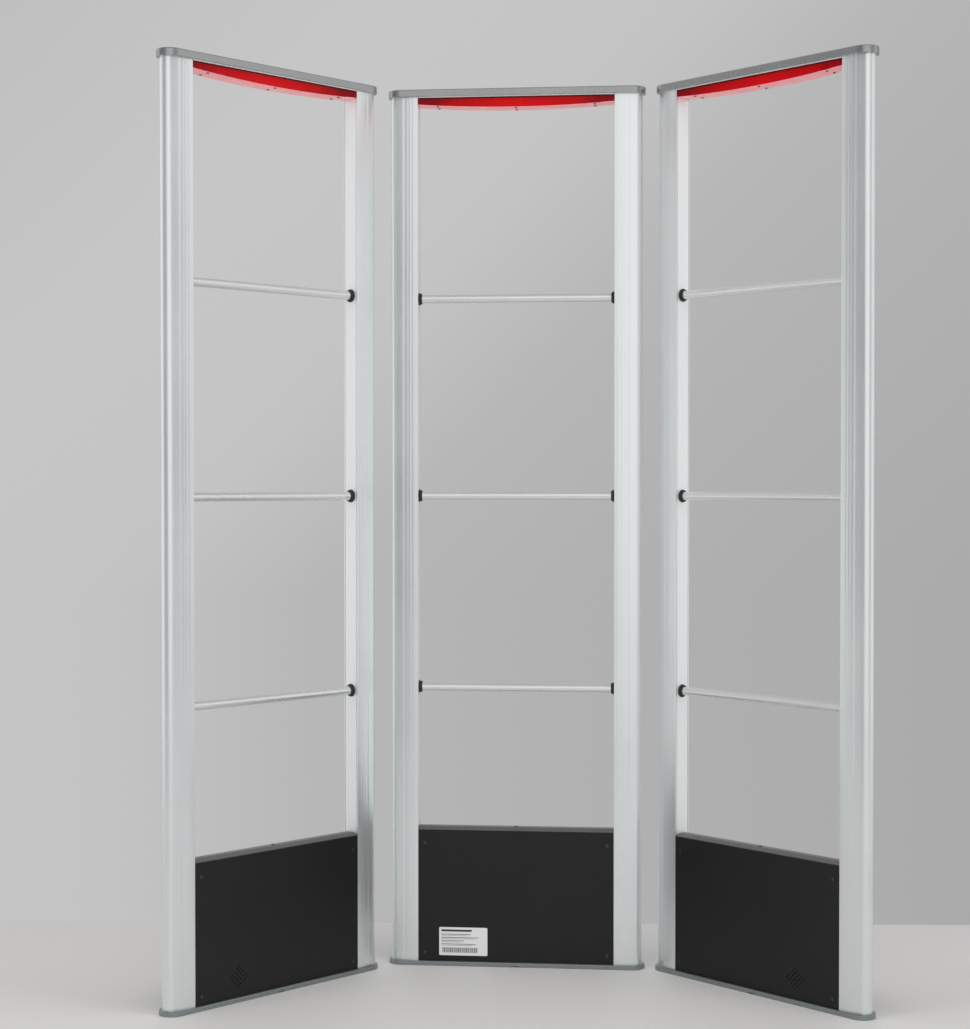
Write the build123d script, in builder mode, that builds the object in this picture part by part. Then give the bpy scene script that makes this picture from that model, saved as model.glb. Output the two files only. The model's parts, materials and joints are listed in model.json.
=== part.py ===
from build123d import *

import os
from collections import namedtuple
from math import cos, radians, sin, sqrt

# A retail security gate: three identical detection pedestals that stand together as one set.
# Units are millimetres and degrees. +Z is up, -Y is the side from which the set is met, and the
# origin is on the floor, in the middle of the set.
#
# Each pedestal has its own plane: x along its width, y from its front to its back, z up. Its front
# cover carries the speaker grille and its back cover carries the label.

# ---- overall sizes of one pedestal ----
overall_height = 1550.0      # floor to the top of the cap
frame_width = 445.0          # outer end of one post to the outer end of the other
frame_depth = 35.0           # front to back of the posts, the lamp and the electronics box
post_width = 49.0            # one post, seen from the front

# ---- how the three pedestals stand ----
wing_turn = 45.6             # a side pedestal's turn out of the plane of the set
middle_turn = 4.6            # the middle pedestal's slight turn
end_gap = 18.0               # sideways, between a side pedestal's plates and the middle one's
end_lead = 28.5              # a side pedestal's inner end in front of the middle pedestal's middle

# ---- base plate and cap ----
plate_overhang = 5.0         # both plates stand this far past the posts, all round
base_thickness = 8.0
base_edge_radius = 1.5
cap_thickness = 12.0
cap_edge_radius = 2.0
notch_width = 12.0           # small notch in the middle of the base's lower long edges
notch_height = 2.5
notch_depth = 6.0
anchor_x = 130.0             # floor anchor holes, each side of the middle
anchor_hole_radius = 5.5
cable_hole_radius = 10.0

# ---- posts ----
post_wall = 2.0
post_face_radius = 160.0     # the wide faces are gently rounded across
post_crest = 6.0             # from the inner face to the thickest line
post_end_radius = 13.0       # outer corners
flute_start = 9.3            # smooth band next to the opening
flute_pitch = 6.8
flute_width = 6.2
flute_depth = 0.15
flute_count = 3
port_from_face = 20.0        # screw ports, from the post's inner face
port_boss_radius = 4.2
port_bite = 0.9              # a port's boss runs this far into the wall
screw_radius = 2.5           # M5
screw_fit = 0.05             # radial clearance of a screw in its thread, drawn plain
screw_clearance = 0.3        # radial clearance of a screw in a through hole
frame_screw_grip = 20.0      # length of thread in the post
screw_head_radius = 4.25
screw_head_height = 3.0
head_recess_clearance = 0.4
socket_radius = 2.3
socket_depth = 1.6

# ---- channel strips ----
strip_thickness = 1.6
strip_gap = 1.2              # dark line each side of a strip
ledge_thickness = 1.6
ledge_reach = 3.0
leg_thickness = 1.2
leg_gap = 0.5
nub_reach = 1.2
nub_length = 1.2
nub_gap = 0.3

# ---- crossbars and grommets ----
bar_heights = (494.0, 834.0, 1183.0)
bar_radius = 7.5
bar_wall = 1.2
bar_insert = 12.0            # length of a bar inside each post
bar_clearance = 0.3
grommet_wall = 3.75          # rubber outside the bar, at the post
grommet_length = 6.0
grommet_draft = 17.0
grommet_bore_clearance = 0.1

# ---- alarm lamp ----
lamp_board_thickness = 2.0
lens_end_height = 12.0
lens_sag = 6.5               # the underside is this much lower in the middle
lens_wall = 2.0
lens_gap = 0.5               # to each post
lens_edge_radius = 1.2
led_size = 5.0
led_height = 1.6
led_pitch = 14.0
led_count = 22
led_row_y = 8.0
lamp_screw_x = 138.5
lamp_screw_y = 10.0
lamp_screw_radius = 1.5
lamp_screw_head_radius = 2.2
lamp_screw_head_height = 1.0
lamp_screw_grip = 6.0        # length in the cap

# ---- electronics box ----
panel_top = 241.0
panel_thickness = 1.5
panel_bottom_gap = 0.4
panel_side_gap = 0.6
panel_edge_chamfer = 0.4
cover_gap = 0.3              # between the front cover and what it closes on
lid_gap = 0.4
lid_side_height = 1.2
lid_height = 5.0
lid_ridge_width = 12.0
lid_end_radius = 3.0
sheet = 1.2                  # chassis metal
chassis_gap = 0.3
cover_screw_side = 12.0      # cover screws, from the panel's sides, top and bottom
cover_screw_top = 23.0
cover_screw_bottom = 15.0
cover_screw_radius = 1.5     # M3
cover_screw_length = 10.0
cover_screw_head_radius = 2.9
cover_screw_head_height = 1.0
cross_slot_length = 3.8
cross_slot_width = 0.7
cross_slot_depth = 0.6
standoff_radius = 4.0

# ---- speaker and its grille ----
grille_x = 86.0
grille_z = 42.0
grille_pitch = 6.0
grille_rows = 5
grille_hole_radius = 1.3
speaker_radius = 18.0
speaker_rim = 3.0
speaker_rim_depth = 4.0
speaker_cone_depth = 2.5
magnet_radius = 9.0
speaker_depth = 10.0

# ---- boards inside the box ----
board_x = 45.0
board_z = 125.0
board_width = 150.0
board_height = 90.0
board_thickness = 1.6
board_inset = 6.0            # spacer holes, from the board's edges
spacer_length = 5.0
spacer_radius = 3.0
spacer_bore_radius = 1.6
supply_x = 85.0
supply_z = 125.0
supply_width = 70.0
supply_height = 50.0
supply_depth = 24.0
supply_chamfer = 1.5
vent_width = 2.0
vent_length = 34.0
vent_pitch = 6.0
vent_count = 7
vent_depth = 1.2

# ---- sensitivity trimmer ----
trimmer_dx = 50.0            # from the board's middle
trimmer_dz = 25.0
trimmer_body_radius = 7.0
trimmer_body_depth = 6.0
trimmer_shaft_radius = 2.0
trimmer_fit = 0.05           # running clearance, radial
trimmer_end_gap = 0.4
knob_radius = 6.0
knob_depth = 7.0
knob_slot_width = 1.4
knob_slot_depth = 2.0

# ---- label ----
label_x = 93.0
label_z = 43.0
label_width = 86.0
label_height = 50.0
label_thickness = 0.2
label_corner = 2.0

# ---- antenna loop ----
loop_from_end = 25.0         # middle of the conductor from a post's outer end
loop_width = 4.0
loop_depth = 4.0
loop_top_gap = 5.0           # under the lamp board
loop_bottom = 198.0
loop_corner = 12.0
loop_window = 12.0

# ---- sizes that follow ----
plate_length = frame_width + 2 * plate_overhang
plate_depth = frame_depth + 2 * plate_overhang
opening_width = frame_width - 2 * post_width
half_opening = opening_width / 2
front_y = -frame_depth / 2
back_y = frame_depth / 2
cap_bottom = overall_height - cap_thickness
post_length = cap_bottom - base_thickness
mouth = frame_depth - 2 * post_wall
strip_width = mouth - 2 * strip_gap
lens_top = cap_bottom - lamp_board_thickness
lens_end_bottom = lens_top - lens_end_height
lens_half = half_opening - lens_gap
lid_bottom = panel_top + lid_gap
lid_top = lid_bottom + lid_height
panel_bottom = base_thickness + panel_bottom_gap
inner_front_y = front_y + panel_thickness
inner_back_y = back_y - panel_thickness
chassis_front_y = inner_front_y + cover_gap
panel_width = opening_width - 2 * panel_side_gap
board_back_y = inner_back_y - spacer_length
board_front_y = board_back_y - board_thickness
trimmer_face_y = board_front_y - trimmer_body_depth
port_x = half_opening + port_from_face
port_y = mouth / 2 - port_boss_radius + port_bite
grommet_radius = bar_radius + grommet_wall
loop_top = lens_top - loop_top_gap
flute_radius = ((flute_width / 2) ** 2 + flute_depth**2) / (2 * flute_depth)

frame_screw_spots = [(sx * port_x, sy * port_y) for sx in (-1, 1) for sy in (-1, 1)]
lamp_screw_spots = [(x, sy * lamp_screw_y) for x in (-lamp_screw_x, 0, lamp_screw_x) for sy in (-1, 1)]
cover_screw_x = half_opening - cover_screw_side
cover_screw_spots = [
    (side * cover_screw_x, height)
    for side in (-1, 1)
    for height in (base_thickness + cover_screw_bottom, panel_top - cover_screw_top)
]

# The plates' round ends set how far the whole set reaches, so the set is centred on them.
plate_radius = plate_depth / 2
half_run = plate_length / 2 - plate_radius
wing_reach = half_run * sin(radians(wing_turn))
middle_reach = half_run * sin(radians(middle_turn))
wing_forward = wing_reach + end_lead
wing_spread = half_run * (cos(radians(wing_turn)) + cos(radians(middle_turn))) + plate_depth + end_gap
set_front = -wing_forward - wing_reach - plate_radius
set_back = max(middle_reach, wing_reach - wing_forward) + plate_radius
middle_y = -(set_front + set_back) / 2

# hand is 1 where the speaker is at the pedestal's -x end, and -1 where it is at its +x end.
Pedestal = namedtuple("Pedestal", "name x y turn hand")
pedestals = [
    Pedestal("left", -wing_spread, middle_y - wing_forward, wing_turn, 1),
    Pedestal("centre", 0.0, middle_y, 180 - middle_turn, 1),
    Pedestal("right", wing_spread, middle_y - wing_forward, -wing_turn, -1),
]


def stand(pedestal):
    """The pedestal's own plane, on the floor."""
    turn = radians(pedestal.turn)
    return Plane(origin=(pedestal.x, pedestal.y, 0), x_dir=(cos(turn), sin(turn), 0), z_dir=(0, 0, 1))


def level(home, height):
    """A horizontal plane of the pedestal."""
    return home.offset(height)


def upright(home, y):
    """A plane parallel to the pedestal's front, its normal towards the front. Sketches are (x, z)."""
    return Plane(origin=home.from_local_coords((0, y, 0)), x_dir=home.x_dir, z_dir=-home.y_dir)


def crosswise(home, x, towards=1):
    """A plane across the pedestal's width, its normal along x times towards. Sketches are (y, z)."""
    return Plane(
        origin=home.from_local_coords((x, 0, 0)), x_dir=home.y_dir * towards, z_dir=home.x_dir * towards
    )


def lens_underside(x):
    """Height of the lens's lowest surface at a distance x from its middle."""
    radius = (lens_half**2 + lens_sag**2) / (2 * lens_sag)
    return lens_end_bottom - lens_sag + radius - sqrt(radius**2 - x**2)


def save(node, part):
    """Labels a finished piece and writes it."""
    part.label = node
    export_step(part, f"parts/{node}.step")


# ---- base plate and cap ----


def make_base(home):
    with BuildPart() as base:
        with BuildSketch(home):
            SlotOverall(plate_length, plate_depth)
        extrude(amount=base_thickness)
        fillet(base.faces().sort_by(Axis.Z)[-1].edges(), base_edge_radius)
        with BuildSketch(home):
            Circle(cable_hole_radius)
            with Locations((-anchor_x, 0), (anchor_x, 0)):
                Circle(anchor_hole_radius)
            with Locations(*frame_screw_spots):
                Circle(screw_radius + screw_clearance)
        extrude(amount=base_thickness, mode=Mode.SUBTRACT)
        with BuildSketch(home):
            with Locations(*frame_screw_spots):
                Circle(screw_head_radius + head_recess_clearance)
        extrude(amount=screw_head_height + head_recess_clearance, mode=Mode.SUBTRACT)
        with BuildSketch(home):
            with Locations((0, -plate_depth / 2), (0, plate_depth / 2)):
                Rectangle(notch_width, 2 * notch_depth)
        extrude(amount=notch_height, mode=Mode.SUBTRACT)
    return base.part


def make_cap(home):
    with BuildPart() as cap:
        with BuildSketch(level(home, cap_bottom)):
            SlotOverall(plate_length, plate_depth)
        extrude(amount=cap_thickness)
        fillet(cap.faces().sort_by(Axis.Z)[-1].edges(), cap_edge_radius)
        with BuildSketch(level(home, cap_bottom)):
            with Locations(*frame_screw_spots):
                Circle(screw_radius + screw_clearance)
        extrude(amount=cap_thickness, mode=Mode.SUBTRACT)
        with BuildSketch(level(home, overall_height)):
            with Locations(*frame_screw_spots):
                Circle(screw_head_radius + head_recess_clearance)
        extrude(amount=-(screw_head_height + head_recess_clearance), mode=Mode.SUBTRACT)
        with BuildSketch(level(home, cap_bottom)):
            with Locations(*lamp_screw_spots):
                Circle(lamp_screw_radius + screw_fit)
        extrude(amount=lamp_screw_grip + screw_clearance, mode=Mode.SUBTRACT)
    return cap.part


# ---- posts and channel strips ----


def half_depth(offset):
    """Half the depth of a post at a distance from its inner face."""
    return frame_depth / 2 - post_face_radius + sqrt(post_face_radius**2 - (offset - post_crest) ** 2)


def post_section(side, inset):
    """Everything in a post's cross-section that lies this far inside its surface."""
    face_x = side * half_opening
    outer_x = side * (frame_width / 2 - inset)
    crest_x = face_x + side * post_crest
    arc_y = frame_depth / 2 - post_face_radius
    with BuildSketch() as section:
        with Locations(((face_x + outer_x) / 2, 0)):
            Rectangle(abs(outer_x - face_x), frame_depth)
        with Locations((crest_x, arc_y)):
            Circle(post_face_radius - inset, mode=Mode.INTERSECT)
        with Locations((crest_x, -arc_y)):
            Circle(post_face_radius - inset, mode=Mode.INTERSECT)
        outer_corners = section.vertices().sort_by(lambda corner: side * corner.X)[-2:]
        fillet(outer_corners, post_end_radius - inset)
    return section.sketch


def make_post(home, side):
    """One extrusion. side is -1 for the post at the pedestal's -x end and 1 for the other."""
    face_x = side * half_opening
    ledge_x = face_x + side * (strip_thickness + ledge_thickness / 2)
    ledge_y = (mouth - ledge_reach) / 2
    ports = [(side * port_x, -port_y), (side * port_x, port_y)]
    flute_offsets = [flute_start + flute_pitch * (i + 0.5) for i in range(flute_count)]
    flutes = [
        (face_x + side * offset, face * (half_depth(offset) + flute_radius - flute_depth))
        for offset in flute_offsets
        for face in (-1, 1)
    ]
    outside = post_section(side, 0)
    inside = post_section(side, post_wall)
    with BuildPart() as post:
        with BuildSketch(level(home, base_thickness)):
            add(outside)
            add(inside, mode=Mode.SUBTRACT)
            with Locations((ledge_x, -ledge_y), (ledge_x, ledge_y)):
                Rectangle(ledge_thickness, ledge_reach)
            with Locations(*ports):
                Circle(port_boss_radius)
                Circle(screw_radius + screw_fit, mode=Mode.SUBTRACT)
            with Locations(*flutes):
                Circle(flute_radius, mode=Mode.SUBTRACT)
        extrude(amount=post_length)
    return post.part


def make_channel_strips(home):
    leg_y = mouth / 2 - ledge_reach - leg_gap - leg_thickness / 2
    leg_length = ledge_thickness + nub_gap + nub_length
    with BuildPart() as channel_strips:
        with BuildSketch(level(home, panel_top)):
            for side in (-1, 1):
                face_x = side * half_opening
                leg_x = face_x + side * (strip_thickness + leg_length / 2)
                nub_x = face_x + side * (strip_thickness + leg_length - nub_length / 2)
                nub_y = leg_y + leg_thickness / 2 + nub_reach / 2
                with Locations((face_x + side * strip_thickness / 2, 0)):
                    Rectangle(strip_thickness, strip_width)
                with Locations((leg_x, -leg_y), (leg_x, leg_y)):
                    Rectangle(leg_length, leg_thickness)
                with Locations((nub_x, -nub_y), (nub_x, nub_y)):
                    Rectangle(nub_length, nub_reach)
        extrude(amount=lens_end_bottom - panel_top)
        with BuildSketch(crosswise(home, -frame_width / 2)):
            with Locations(*[(0, height) for height in bar_heights]):
                Circle(bar_radius + bar_clearance)
        extrude(amount=frame_width, mode=Mode.SUBTRACT)
    return channel_strips.part


def make_crossbars(home):
    bar_length = opening_width + 2 * bar_insert
    with BuildPart() as crossbars:
        with BuildSketch(crosswise(home, -bar_length / 2)):
            with Locations(*[(0, height) for height in bar_heights]):
                Circle(bar_radius)
                Circle(bar_radius - bar_wall, mode=Mode.SUBTRACT)
        extrude(amount=bar_length)
    return crossbars.part


def make_grommets():
    with BuildPart() as grommets:
        for pedestal in pedestals:
            home = stand(pedestal)
            for side in (-1, 1):
                with BuildSketch(crosswise(home, side * half_opening, -side)):
                    with Locations(*[(0, height) for height in bar_heights]):
                        Circle(grommet_radius)
                extrude(amount=grommet_length, taper=grommet_draft)
            with BuildSketch(crosswise(home, -half_opening)):
                with Locations(*[(0, height) for height in bar_heights]):
                    Circle(bar_radius + grommet_bore_clearance)
            extrude(amount=opening_width, mode=Mode.SUBTRACT)
    return grommets.part


# ---- alarm lamp ----


def lamp_outline(half, end_bottom, middle_bottom, top):
    """A face with a straight top and a bowed bottom, seen from the front."""
    with BuildLine() as outline:
        Line((-half, top), (-half, end_bottom))
        ThreePointArc((-half, end_bottom), (0, middle_bottom), (half, end_bottom))
        Line((half, end_bottom), (half, top))
        Line((half, top), (-half, top))
    make_face(outline.edges())


def make_lens(home):
    bottom = lens_end_bottom - lens_sag
    with BuildPart() as lens:
        with BuildSketch(upright(home, back_y)):
            lamp_outline(lens_half, lens_end_bottom, bottom, lens_top)
        extrude(amount=frame_depth)
        fillet(lens.edges().filter_by(GeomType.CIRCLE), lens_edge_radius)
        with BuildSketch(upright(home, back_y - lens_wall)):
            lamp_outline(lens_half - lens_wall, lens_end_bottom + lens_wall, bottom + lens_wall, lens_top)
        extrude(amount=frame_depth - 2 * lens_wall, mode=Mode.SUBTRACT)
        with BuildSketch(crosswise(home, -half_opening)):
            with Locations((0, lens_top)):
                Rectangle(2 * loop_depth, 2 * (lens_end_height - lens_wall))
        extrude(amount=opening_width, mode=Mode.SUBTRACT)
        with BuildSketch(level(home, bottom)):
            with Locations(*lamp_screw_spots):
                Circle(lamp_screw_radius + screw_clearance)
        extrude(amount=lens_sag + lens_wall, mode=Mode.SUBTRACT)
    return lens.part


def make_lamp_board(home):
    with BuildPart() as lamp_board:
        with BuildSketch(level(home, lens_top)):
            Rectangle(2 * lens_half, frame_depth)
        extrude(amount=lamp_board_thickness)
        with BuildSketch(level(home, lens_top)):
            with Locations((0, -led_row_y), (0, led_row_y)):
                with GridLocations(led_pitch, led_pitch, led_count, 1):
                    Rectangle(led_size, led_size)
        extrude(amount=-led_height)
        with BuildSketch(level(home, lens_top - led_height)):
            with Locations(*lamp_screw_spots):
                Circle(lamp_screw_radius + screw_clearance)
        extrude(amount=lamp_board_thickness + led_height, mode=Mode.SUBTRACT)
    return lamp_board.part


def make_lamp_screws():
    with BuildPart() as lamp_screws:
        for pedestal in pedestals:
            home = stand(pedestal)
            for x, y in lamp_screw_spots:
                seat = lens_underside(max(abs(x) - lamp_screw_head_radius, 0))
                with BuildSketch(level(home, seat)):
                    with Locations((x, y)):
                        Circle(lamp_screw_head_radius)
                extrude(amount=-lamp_screw_head_height)
                with BuildSketch(level(home, seat)):
                    with Locations((x, y)):
                        Circle(lamp_screw_radius)
                extrude(amount=cap_bottom + lamp_screw_grip - seat)
    return lamp_screws.part


# ---- electronics box ----


def make_chassis(home):
    width = opening_width - 2 * chassis_gap
    height = lid_bottom - base_thickness
    middle = (lid_bottom + base_thickness) / 2
    with BuildPart() as chassis:
        with BuildSketch(upright(home, inner_back_y)):
            with Locations((0, middle)):
                Rectangle(width, height)
                Rectangle(width - 2 * sheet, height - 2 * sheet, mode=Mode.SUBTRACT)
        extrude(amount=inner_back_y - chassis_front_y)
        with BuildSketch(crosswise(home, -half_opening)):
            with Locations((0, loop_bottom + loop_width / 2)):
                Rectangle(loop_window, loop_window)
        extrude(amount=opening_width, mode=Mode.SUBTRACT)
        with BuildSketch(level(home, base_thickness)):
            Circle(cable_hole_radius + 2 * sheet)
            with Locations((-anchor_x, 0), (anchor_x, 0)):
                Circle(2 * anchor_hole_radius)
        extrude(amount=sheet, mode=Mode.SUBTRACT)
        with BuildSketch(level(home, lid_bottom)):
            Circle(cover_screw_radius + screw_fit)
        extrude(amount=-sheet, mode=Mode.SUBTRACT)
    return chassis.part


def make_lid(home):
    length = opening_width - 2 * chassis_gap
    side_top = lid_bottom + lid_side_height
    half_ridge = lid_ridge_width / 2
    with BuildPart() as lid:
        with BuildSketch(crosswise(home, -length / 2)):
            with BuildLine():
                Polyline(
                    (front_y, lid_bottom),
                    (front_y, side_top),
                    (-half_ridge, lid_top),
                    (half_ridge, lid_top),
                    (back_y, side_top),
                    (back_y, lid_bottom),
                    close=True,
                )
            make_face()
        extrude(amount=length)
        end_edges = lid.faces().sort_by(Axis.Z)[-1].edges().sort_by(SortBy.LENGTH)[:2]
        fillet(end_edges, lid_end_radius)
        with BuildSketch(level(home, lid_bottom)):
            Circle(cover_screw_radius + screw_clearance)
        extrude(amount=lid_height, mode=Mode.SUBTRACT)
    return lid.part


def make_lid_screws():
    with BuildPart() as lid_screws:
        for pedestal in pedestals:
            home = stand(pedestal)
            with BuildSketch(level(home, lid_top)):
                Circle(cover_screw_head_radius)
            extrude(amount=lamp_screw_head_height, taper=grommet_draft)
            with BuildSketch(level(home, lid_top)):
                Circle(cover_screw_radius)
            extrude(amount=-cover_screw_length)
    return lid_screws.part


def panel_blank():
    """A cover's outline with its screw holes, seen from the front."""
    with Locations((0, (panel_top + panel_bottom) / 2)):
        Rectangle(panel_width, panel_top - panel_bottom)
    with Locations(*cover_screw_spots):
        Circle(cover_screw_radius + screw_clearance, mode=Mode.SUBTRACT)


def make_front_panel(home, hand):
    with BuildPart() as front_panel:
        with BuildSketch(upright(home, inner_front_y)):
            panel_blank()
            with Locations(Location((-hand * grille_x, grille_z, 0), (0, 0, 45))):
                with GridLocations(grille_pitch, grille_pitch, grille_rows, grille_rows):
                    Circle(grille_hole_radius, mode=Mode.SUBTRACT)
        extrude(amount=panel_thickness)
    return front_panel.part


def make_back_panel(home):
    with BuildPart() as back_panel:
        with BuildSketch(upright(home, back_y)):
            panel_blank()
        extrude(amount=panel_thickness)
    return back_panel.part


def make_cover_screws(homes, face_y, outward):
    """Four pan-head screws in each cover. outward is 1 on the front covers and -1 on the back ones."""
    head_y = face_y - outward * cover_screw_head_height
    with BuildPart() as cover_screws:
        for home in homes:
            with BuildSketch(upright(home, face_y)):
                with Locations(*cover_screw_spots):
                    Circle(cover_screw_head_radius)
            extrude(amount=outward * cover_screw_head_height)
            with BuildSketch(upright(home, face_y)):
                with Locations(*cover_screw_spots):
                    Circle(cover_screw_radius)
            extrude(amount=-outward * cover_screw_length)
            with BuildSketch(upright(home, head_y)):
                with Locations(*cover_screw_spots):
                    Rectangle(cross_slot_length, cross_slot_width)
                    Rectangle(cross_slot_width, cross_slot_length)
            extrude(amount=-outward * cross_slot_depth, mode=Mode.SUBTRACT)
    return cover_screws.part


def make_standoffs():
    dx = board_width / 2 - board_inset
    dz = board_height / 2 - board_inset
    with BuildPart() as standoffs:
        for pedestal in pedestals:
            home = stand(pedestal)
            with BuildSketch(upright(home, inner_back_y)):
                with Locations(*cover_screw_spots):
                    Circle(standoff_radius)
                    Circle(cover_screw_radius + screw_fit, mode=Mode.SUBTRACT)
            extrude(amount=inner_back_y - chassis_front_y)
            with BuildSketch(upright(home, inner_back_y)):
                with Locations((pedestal.hand * board_x, board_z)):
                    with GridLocations(2 * dx, 2 * dz, 2, 2):
                        Circle(spacer_radius)
                        Circle(spacer_bore_radius, mode=Mode.SUBTRACT)
            extrude(amount=spacer_length)
    return standoffs.part


def make_speaker(home, hand):
    with BuildPart() as speaker:
        with BuildSketch(upright(home, inner_front_y)):
            with Locations((-hand * grille_x, grille_z)):
                Circle(speaker_radius)
        extrude(amount=-speaker_rim_depth)
        with BuildSketch(upright(home, inner_front_y)):
            with Locations((-hand * grille_x, grille_z)):
                Circle(speaker_radius - speaker_rim)
        extrude(amount=-speaker_cone_depth, mode=Mode.SUBTRACT)
        with BuildSketch(upright(home, inner_front_y + speaker_rim_depth)):
            with Locations((-hand * grille_x, grille_z)):
                Circle(magnet_radius)
        extrude(amount=-(speaker_depth - speaker_rim_depth))
    return speaker.part


def make_power_supply(home, hand):
    with BuildPart() as power_supply:
        with BuildSketch(upright(home, inner_back_y)):
            with Locations((-hand * supply_x, supply_z)):
                Rectangle(supply_width, supply_height)
        extrude(amount=supply_depth)
        front_face = power_supply.faces().sort_by(Axis(home.origin, home.y_dir))[0]
        chamfer(front_face.edges(), supply_chamfer)
        with BuildSketch(upright(home, inner_back_y - supply_depth)):
            with Locations((-hand * supply_x, supply_z)):
                with GridLocations(vent_pitch, vent_pitch, vent_count, 1):
                    SlotOverall(vent_length, vent_width, rotation=90)
        extrude(amount=-vent_depth, mode=Mode.SUBTRACT)
    return power_supply.part


# Components on the main board: (x, z) from its middle, width, height, depth.
board_blocks = [
    ((-20, 5), 22, 22, 2.2),      # signal processor
    ((12, 8), 14, 14, 2.0),       # codec
    ((10, -22), 12, 9, 2.2),      # amplifier
    ((-52, 12), 18, 15, 12.0),    # relay
    ((-50, -30), 30, 9, 11.0),    # power connector
    ((50, -30), 24, 9, 9.0),      # antenna connector
    ((-14, -32), 16, 8, 8.0),     # lamp connector
]
# Round capacitors: (x, z) from the board's middle, radius, depth.
board_cans = [((-52, -10), 5.0, 12.0), ((-38, -12), 4.0, 10.0), ((30, -8), 5.0, 12.0), ((34, 10), 3.2, 8.0)]


def make_main_board(home, hand):
    dx = board_width / 2 - board_inset
    dz = board_height / 2 - board_inset
    middle = (hand * board_x, board_z)
    with BuildPart() as main_board:
        with BuildSketch(upright(home, board_back_y)):
            with Locations(middle):
                Rectangle(board_width, board_height)
                with GridLocations(2 * dx, 2 * dz, 2, 2):
                    Circle(spacer_bore_radius, mode=Mode.SUBTRACT)
        extrude(amount=board_thickness)
        for (x, z), width, height, depth in board_blocks:
            with BuildSketch(upright(home, board_front_y)):
                with Locations((middle[0] + hand * x, middle[1] + z)):
                    Rectangle(width, height)
            extrude(amount=depth)
        for (x, z), radius, depth in board_cans:
            with BuildSketch(upright(home, board_front_y)):
                with Locations((middle[0] + hand * x, middle[1] + z)):
                    Circle(radius)
            extrude(amount=depth)
        with BuildSketch(upright(home, board_front_y)):
            with Locations((middle[0] + hand * trimmer_dx, middle[1] + trimmer_dz)):
                Circle(trimmer_body_radius)
                Circle(trimmer_shaft_radius + trimmer_fit, mode=Mode.SUBTRACT)
        extrude(amount=trimmer_body_depth)
    return main_board.part


def make_trimmer_knob(home, hand):
    spot = (hand * (board_x + trimmer_dx), board_z + trimmer_dz)
    knob_back_y = trimmer_face_y - trimmer_end_gap
    knob_front_y = knob_back_y - knob_depth
    shaft_end_y = board_front_y - trimmer_end_gap
    with BuildPart() as trimmer_knob:
        with BuildSketch(upright(home, knob_back_y)):
            with Locations(spot):
                Circle(knob_radius)
        extrude(amount=knob_depth)
        with BuildSketch(upright(home, shaft_end_y)):
            with Locations(spot):
                Circle(trimmer_shaft_radius)
        extrude(amount=shaft_end_y - knob_back_y)
        with BuildSketch(upright(home, knob_front_y)):
            with Locations(spot):
                Rectangle(2 * knob_radius, knob_slot_width)
        extrude(amount=-knob_slot_depth, mode=Mode.SUBTRACT)
    return trimmer_knob.part


def make_labels():
    with BuildPart() as labels:
        for pedestal in pedestals:
            with BuildSketch(upright(stand(pedestal), back_y)):
                with Locations((pedestal.hand * label_x, label_z)):
                    RectangleRounded(label_width, label_height, label_corner)
            extrude(amount=-label_thickness)
    return labels.part


# ---- antenna loops and frame screws ----


def make_antenna_loops():
    outer_width = frame_width - 2 * loop_from_end + loop_width
    outer_height = loop_top - loop_bottom
    with BuildPart() as antenna_loops:
        for pedestal in pedestals:
            with BuildSketch(upright(stand(pedestal), loop_depth / 2)):
                with Locations((0, loop_bottom + outer_height / 2)):
                    RectangleRounded(outer_width, outer_height, loop_corner)
                    RectangleRounded(
                        outer_width - 2 * loop_width,
                        outer_height - 2 * loop_width,
                        loop_corner - loop_width,
                        mode=Mode.SUBTRACT,
                    )
            extrude(amount=loop_depth)
    return antenna_loops.part


def make_frame_screws():
    """Socket-head screws, four down through each cap and four up through each base plate."""
    cap_seat = overall_height - screw_head_height - head_recess_clearance
    base_seat = screw_head_height + head_recess_clearance
    with BuildPart() as frame_screws:
        for pedestal in pedestals:
            home = stand(pedestal)
            for seat, into, plate in ((cap_seat, -1, cap_thickness), (base_seat, 1, base_thickness)):
                through = plate - screw_head_height - head_recess_clearance
                with BuildSketch(level(home, seat)):
                    with Locations(*frame_screw_spots):
                        Circle(screw_head_radius)
                extrude(amount=-into * screw_head_height)
                with BuildSketch(level(home, seat)):
                    with Locations(*frame_screw_spots):
                        Circle(screw_radius)
                extrude(amount=into * (through + frame_screw_grip))
                with BuildSketch(level(home, seat - into * screw_head_height)):
                    with Locations(*frame_screw_spots):
                        RegularPolygon(socket_radius, 6)
                extrude(amount=into * socket_depth, mode=Mode.SUBTRACT)
    return frame_screws.part


# ---- build and write every piece ----

os.makedirs("parts", exist_ok=True)

for pedestal in pedestals:
    home = stand(pedestal)
    hand = pedestal.hand
    save(f"{pedestal.name}_base", make_base(home))
    save(f"{pedestal.name}_cap", make_cap(home))
    save(f"{pedestal.name}_left_post", make_post(home, -1))
    save(f"{pedestal.name}_right_post", make_post(home, 1))
    save(f"{pedestal.name}_channel_strips", make_channel_strips(home))
    save(f"{pedestal.name}_crossbars", make_crossbars(home))
    save(f"{pedestal.name}_lens", make_lens(home))
    save(f"{pedestal.name}_lamp_board", make_lamp_board(home))
    save(f"{pedestal.name}_chassis", make_chassis(home))
    save(f"{pedestal.name}_lid", make_lid(home))
    save(f"{pedestal.name}_front_panel", make_front_panel(home, hand))
    save(f"{pedestal.name}_front_panel_screws", make_cover_screws([home], front_y, 1))
    save(f"{pedestal.name}_back_panel", make_back_panel(home))
    save(f"{pedestal.name}_main_board", make_main_board(home, hand))
    save(f"{pedestal.name}_power_supply", make_power_supply(home, hand))
    save(f"{pedestal.name}_speaker", make_speaker(home, hand))
    save(f"{pedestal.name}_trimmer_knob", make_trimmer_knob(home, hand))

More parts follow.
